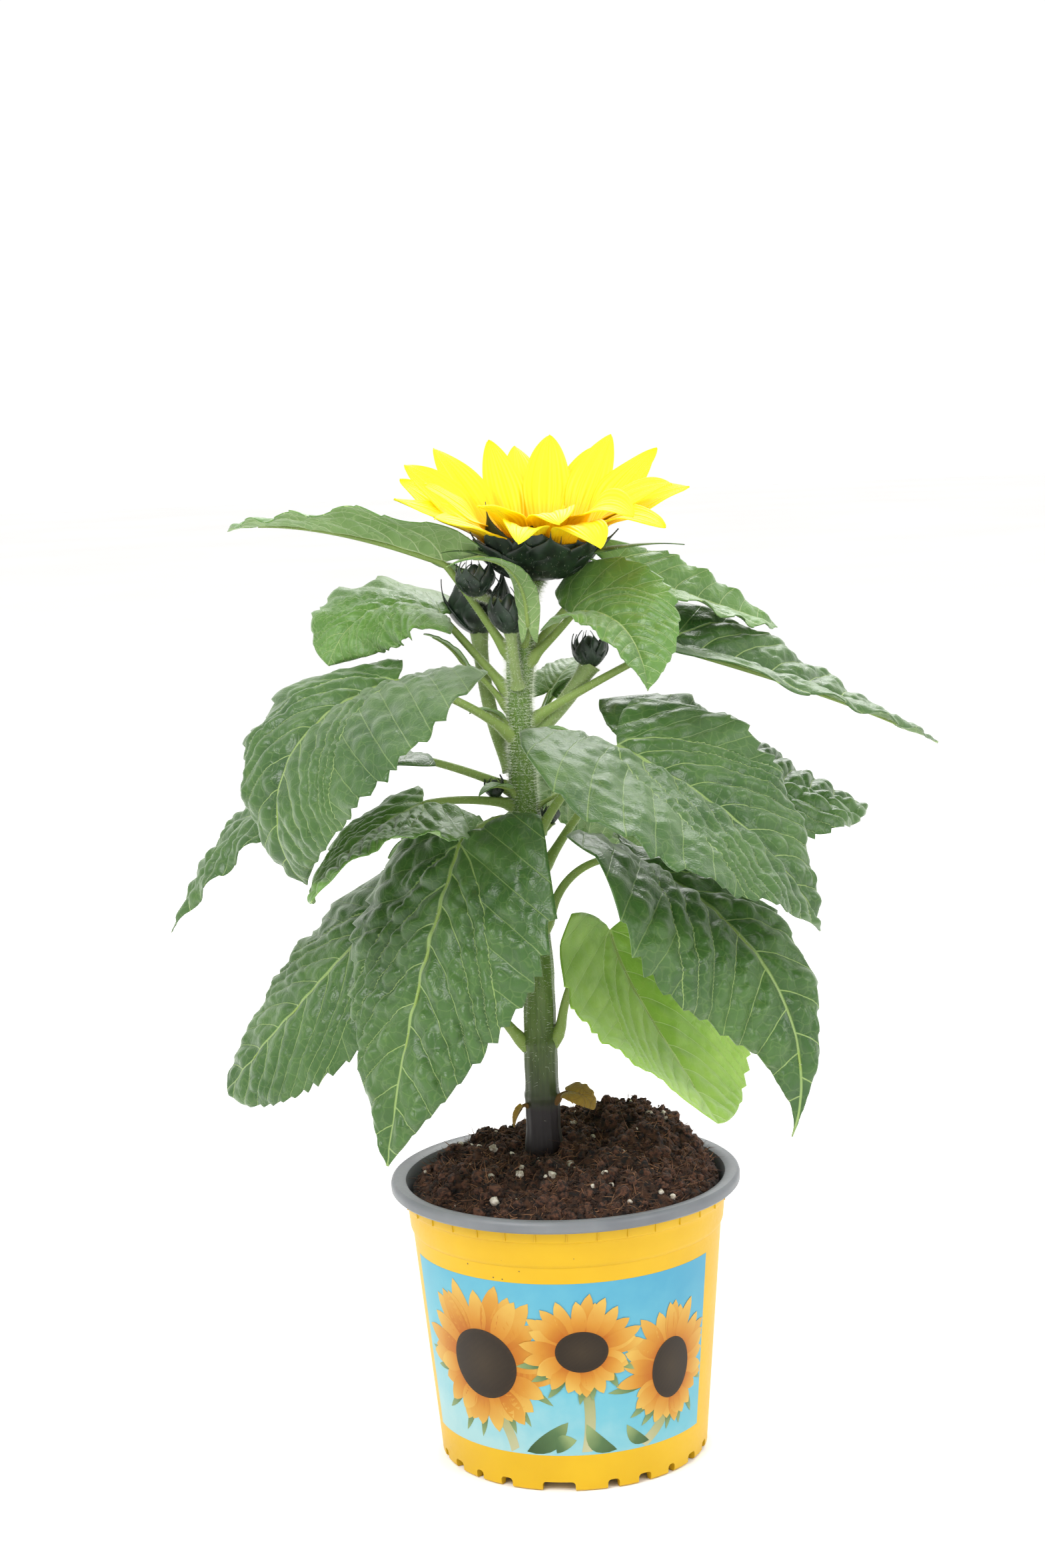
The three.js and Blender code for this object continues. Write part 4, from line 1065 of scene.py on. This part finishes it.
for number, leaf in enumerate(leaves):
    leaf = {**plainLeaf, **leaf}
    finished(leafPiece(leaf, number), "dead_leaf" if leaf["skin"] == dry else "leaf", leaf["name"])
for number, leaf in enumerate(leaflets):
    leaf = {**plainLeaflet, **leaf}
    finished(leafPiece(leaf, number + 40), "dead_leaf" if leaf["skin"] == dry else "leaf")
print("leaves made")


# bracts: small pointed scales round the buds and under the flower
def scalePiece(course, halfWidth, cup, materials, steps, rows, thickness, full, shift=0.6):
    piece = gridPiece("scale", steps, rows, *materials)
    s, t = gridShares(piece)
    point, _, left, up = stationsOn(course, s)
    body = np.minimum(1, shift + 1.6 * s) * (1 - smoothStep((s - full) / (0.84 - full)))
    half = halfWidth * (body + 0.14 * (1 - s) * (1 - body))
    rise = cup * half * t * t - 0.12 * half * np.abs(t) ** 0.5
    points = point + left * (t * half)[..., None] + up * rise[..., None]
    return thickened(piece, points, [s, t * 0.5], thickness, material_offset=len(materials) - 1)


# root: height and azimuth on the stem; end: where the bud sits on its stalk; size: radius and length;
# stalk: its radius
buds = [
    {"name": "bud_left", "root": (256, 150), "end": (-24, 13.5, 307), "size": (8.5, 21), "stalk": 2.6},
    {"name": "bud_upper_left", "root": (315, 195), "end": (-24.5, -9, 321.5), "size": (5.3, 12), "stalk": 1.5},
    {"name": "bud_front", "root": (287, 262), "end": (-12.5, -9.5, 308), "size": (5, 15), "stalk": 2.0},
    {"name": "bud_right", "root": (268, 20), "end": (16, 6, 293), "size": (4.8, 12), "stalk": 2.9},
]
# small ones in the axils, with no node of their own
axilBuds = [
    {"name": "bud_axil_left", "root": (243, 190), "end": (-20.5, -2, 247), "size": (2.6, 7), "stalk": 1.4},
    {"name": "bud_axil_right", "root": (232, 345), "end": (-0.5, -3, 237), "size": (2.4, 6), "stalk": 1.4},
]
# rows of scales: count, height, length and last pitch, and how far in they start
budRows = [(5, 0.0, 1.15, 143, 0.4), (5, 0.05, 1.15, 126, 0.45), (4, -0.05, 1.0, 106, 0.34)]


def budPiece(bud, number):
    name = bud["name"]
    height, azimuth = bud["root"]
    radius, length = bud["size"]
    centre, stemRadius = stemAt(height)
    outward = direction(math.radians(azimuth), 0.0)
    start = centre + outward * (stemRadius - 0.5)
    end = np.array(bud["end"], float)
    bow = start + (end - start) * 0.4 + outward * 0.12 * np.linalg.norm(end - start)
    share = np.linspace(0, 1, 24)[:, None]
    line = (1 - share) ** 2 * start + 2 * share * (1 - share) * bow + share ** 2 * end
    swell = 1 + 0.5 * np.exp(-share[:, 0] / 0.07) + 0.5 * np.exp(-(1 - share[:, 0]) / 0.08)
    tube = tubePiece(name + "_stalk", line, bud["stalk"] * swell, budStalkSkin)
    tubeHairs = hairsOn("hairs", tube, int(300 + 26 * np.linalg.norm(end - start)), 1.5, 0.035)

    deselectAll()
    bpy.ops.mesh.primitive_uv_sphere_add(segments=32, ring_count=20, radius=1)
    core = named(name + "_core", darkBract)
    ball = pointsOf(core)
    taper = 1 - 0.42 * np.clip(ball[:, 2], 0, 1) ** 1.2
    wide = radius * 0.86 * taper
    ball = np.column_stack([ball[:, 0] * wide, ball[:, 1] * wide, (ball[:, 2] * 0.46 + 0.42) * length]) + end
    placePoints(core, ball * mm)
    smooth(core)

    scales = []
    for row, (count, rise, ratio, pitchEnd, tuck) in enumerate(budRows):
        for i in range(count):
            turnBy = 360 * (i + 0.5 * row) / count + 11 * math.sin(3 * i + number)
            root = end + direction(math.radians(turnBy), 0.0) * radius * tuck
            root = root + np.array([0, 0, length * (rise - 0.02)])
            reach = length * ratio * (1.05 + 0.12 * math.sin(5 * i + row))
            pitch = pitchEnd - 14 * math.sin(i * 2.1 + number)
            course = courseOf(root, turnBy, 16 + 4 * row, pitch, reach, 0, 0.8)
            scales.append(scalePiece(course, radius * 0.86, 0.35, (darkBract, darkBract), 24, 10, 0.35, 0.36))
    coat = joined("coat", scales)
    coatHairs = hairsOn("hairs", coat, int(55 * radius), 0.9, 0.03)
    return joined(name + "_coat", [core, coat, tube, tubeHairs, coatHairs])


for number, bud in enumerate(buds):
    finished(budPiece(bud, number), "bud", bud["name"])
for number, bud in enumerate(axilBuds):
    finished(budPiece(bud, number + 10), "bud")
print("buds made")


# flower: a cup with scales, the disc on it, and two rings of rays that stand up behind and fall in front
head = {"x": -1, "bottom": 325.5, "top": 342, "radius": 19.5, "disc": 17, "discHeight": 4.5, "florets": 620}
rays = {"count": 22, "length": 38, "widest": 8.8, "root": 20.2, "sunk": 2.6, "thickness": 0.4, "pitch": 46,
        "rearPitch": 15, "frontAt": 300, "frontPitch": 28, "droop": 16, "frontDroop": 92}
rings = [{"pitch": -7, "length": 1, "out": 0.6, "rise": -1.6},
         {"pitch": 6, "length": 0.94, "out": 0, "rise": 0.4}]


def headPoint(azimuth, radius, height):
    return direction(math.radians(azimuth), 0.0) * radius + (head["x"], 0, height)


deselectAll()
bpy.ops.mesh.primitive_uv_sphere_add(segments=48, ring_count=24, radius=1)
cup = named("cup", darkBract)
ball = pointsOf(cup)
reach = np.linalg.norm(ball[:, :2], axis=1, keepdims=True)
high = head["bottom"] - 1.0 + (head["top"] - head["bottom"] + 1.0) * np.clip((ball[:, 2:3] + 1) / 1.25, 0, 1)
wide = head["radius"] * np.where(ball[:, 2:3] < 0.25, reach ** 0.9, reach)
flatDirection = ball[:, :2] / np.maximum(reach, 1e-9)
placePoints(cup, np.column_stack([flatDirection * wide + (head["x"], 0), high]) * mm)
smooth(cup)
scales = [cup]
# rows of scales: count, radius, height, length, half width, first and last pitch, bend
cupRows = [(8, 7.5, 325.6, 21.5, 8.6, 8, 66, 0.8), (9, 12.0, 328.0, 18.5, 8.6, 20, 62, 0.9),
           (10, 16.5, 331.5, 15.0, 8.0, 34, 48, 1.0)]
for row, (count, radius, z, length, half, pitchStart, pitchEnd, bend) in enumerate(cupRows):
    for i in range(count):
        turnBy = 360 * (i + 0.45 * row) / count + 9 * math.sin(4.1 * i + row)
        upright = 20 * abs(math.sin(math.radians(turnBy)))
        course = courseOf(headPoint(turnBy, radius, z), turnBy, pitchStart,
                          pitchEnd + upright + 5 * math.sin(2.3 * i + row),
                          length * (1 + 0.12 * math.sin(3.3 * i + 2 * row)), 0, bend)
        scales.append(scalePiece(course, half, 0.28, (darkBract, darkBract), 28, 10, 0.5, 0.35, 0.75))
# a few long green bracts that reach out past the rays
for turnBy, z, length, start, end in [(192, 337, 27, 26, 4), (205, 335, 22, 18, -8), (348, 335, 36, 10, -6),
                                      (14, 338, 30, 40, 24), (100, 338, 26, 30, 20), (60, 337, 26, 28, 5)]:
    course = courseOf(headPoint(turnBy, 17, z), turnBy, start, end, length)
    scales.append(scalePiece(course, 3.6, -0.3, (greenBract, darkBract), 20, 6, 0.4, 0.05, 0.8))
# two dark ones that stand up in front of the rays
for turnBy, length, half in [(229, 25, 6.4), (264, 19, 8.6)]:
    course = courseOf(headPoint(turnBy, 17, 333), turnBy, 36, 84, length, 0, 0.8)
    scales.append(scalePiece(course, half, 0.28, (darkBract, darkBract), 28, 10, 0.5, 0.3, 0.75))
calyx = joined("calyx", scales)
calyxHairs = hairsOn("hairs", calyx, 1800, 0.9, 0.03, lambda c: (np.hypot(c[:, 0] + 1, c[:, 1]) > 12) * 1.0)
finished(joined("flower_calyx", [calyx, calyxHairs]), "bud", "flower_base")


def rayPiece(index):
    ring = rings[index % 2]
    azimuth = index / rays["count"] * 360
    rear = math.sin(math.radians(azimuth))
    front = max(0, math.cos(math.radians(azimuth - rays["frontAt"]))) ** 2
    start = rays["pitch"] + rays["rearPitch"] * rear + rays["frontPitch"] * front + ring["pitch"]
    end = start - rays["droop"] - rays["frontDroop"] * front
    length = rays["length"] * (1 + 0.12 * rear) * ring["length"] * (1 + 0.04 * math.sin(index * 2.4))
    # each ray starts a little inside the cup, so that no slit is left round the disc
    length += rays["sunk"]
    radius = rays["root"] + ring["out"] - rays["sunk"] * math.cos(math.radians(start))
    rootHeight = head["top"] + ring["rise"] - rays["sunk"] * math.sin(math.radians(start))
    course = courseOf(headPoint(azimuth, radius, rootHeight), azimuth, start, end, length)
    piece = gridPiece(f"ray_{index + 1:02d}_floret", 48, 24, rayPetal)
    s, t = gridShares(piece)
    point, _, left, up = stationsOn(course, s)
    half = rays["widest"] * (0.58 + 0.42 * smoothStep(s / 0.5)) * (1 - s ** 3.0) ** 0.8
    half = half * (1 + 0.1 * math.sin(index * 5.3))
    roll = 32 * math.cos(math.radians(azimuth)) + 9 * math.sin(index * 2.7)
    left, up = rolledAxes(left, up, 0, roll, smoothStep(s / 0.5))
    curl = 0.22 + 0.22 * math.sin(index * 1.7)
    trough = curl * half * t * t * (1 - 0.7 * s)
    groove = 0.22 * np.sin(t * 9.5 + 0.4 * math.sin(index)) * np.sin(math.pi * s) * (1 - t ** 4)
    wave = 0.7 * np.abs(t) ** 2 * np.sin(2 * math.pi * (1.6 * s + index * 0.37) + (t > 0) * 1.3) * s
    twist = 0.10 * math.sin(index * 4.3) * s * t * half
    points = point + left * (t * half)[..., None] + up * (trough + groove + wave + twist)[..., None]
    return thickened(piece, points, [s, t * 0.5], rays["thickness"])


for index in range(rays["count"]):
    finished(rayPiece(index), "ray_florets", f"ray_{index + 1:02d}")

# florets of the disc, in the usual spiral
deselectAll()
bpy.ops.mesh.primitive_uv_sphere_add(segments=40, ring_count=20, radius=1)
dome = named("dome", discFloret)
ball = pointsOf(dome)
base = head["top"] + 0.2
placePoints(dome, np.column_stack([ball[:, 0] * head["disc"] + head["x"], ball[:, 1] * head["disc"],
                                   base + np.clip(ball[:, 2], -0.05, 1) * head["discHeight"] * 0.75]) * mm)
smooth(dome)
order = np.arange(head["florets"])
angle = order * math.radians(137.508)
reach = head["disc"] * 0.97 * np.sqrt((order + 0.5) / head["florets"])
lift = head["discHeight"] * 0.75 * np.sqrt(np.clip(1 - (reach / head["disc"]) ** 2, 0, 1))
spots = np.column_stack([reach * np.cos(angle) + head["x"], reach * np.sin(angle), base + lift])
outer = reach / head["disc"]
deselectAll()
bpy.ops.mesh.primitive_cone_add(vertices=5, radius1=1, radius2=0.45, depth=1)
template = named("template")
shape = pointsOf(template)
lean = np.column_stack([np.cos(angle), np.sin(angle), 0 * angle]) * (outer * 0.5)[:, None] + (0, 0, 1)
lean = unit(lean)
high = (shape[None, :, 2, None] + 0.3) * (1.1 + 0.9 * outer)[:, None, None]
sets = (spots[:, None] + lean[:, None] * high
        + np.pad(shape[None, :, :2] * 0.52, ((0, 0), (0, 0), (0, 1))))
florets = repeated("florets", template, sets[outer <= 0.72] * mm, discFloret)
deselectAll()
bpy.ops.mesh.primitive_cone_add(vertices=5, radius1=1, radius2=0.6, depth=1)
rim = repeated("rim", named("template"), sets[outer > 0.72] * mm, pollenTip)
finished(joined("flower_florets", [dome, florets, rim]), "disc_florets", "flower_disc")
print("flower made")
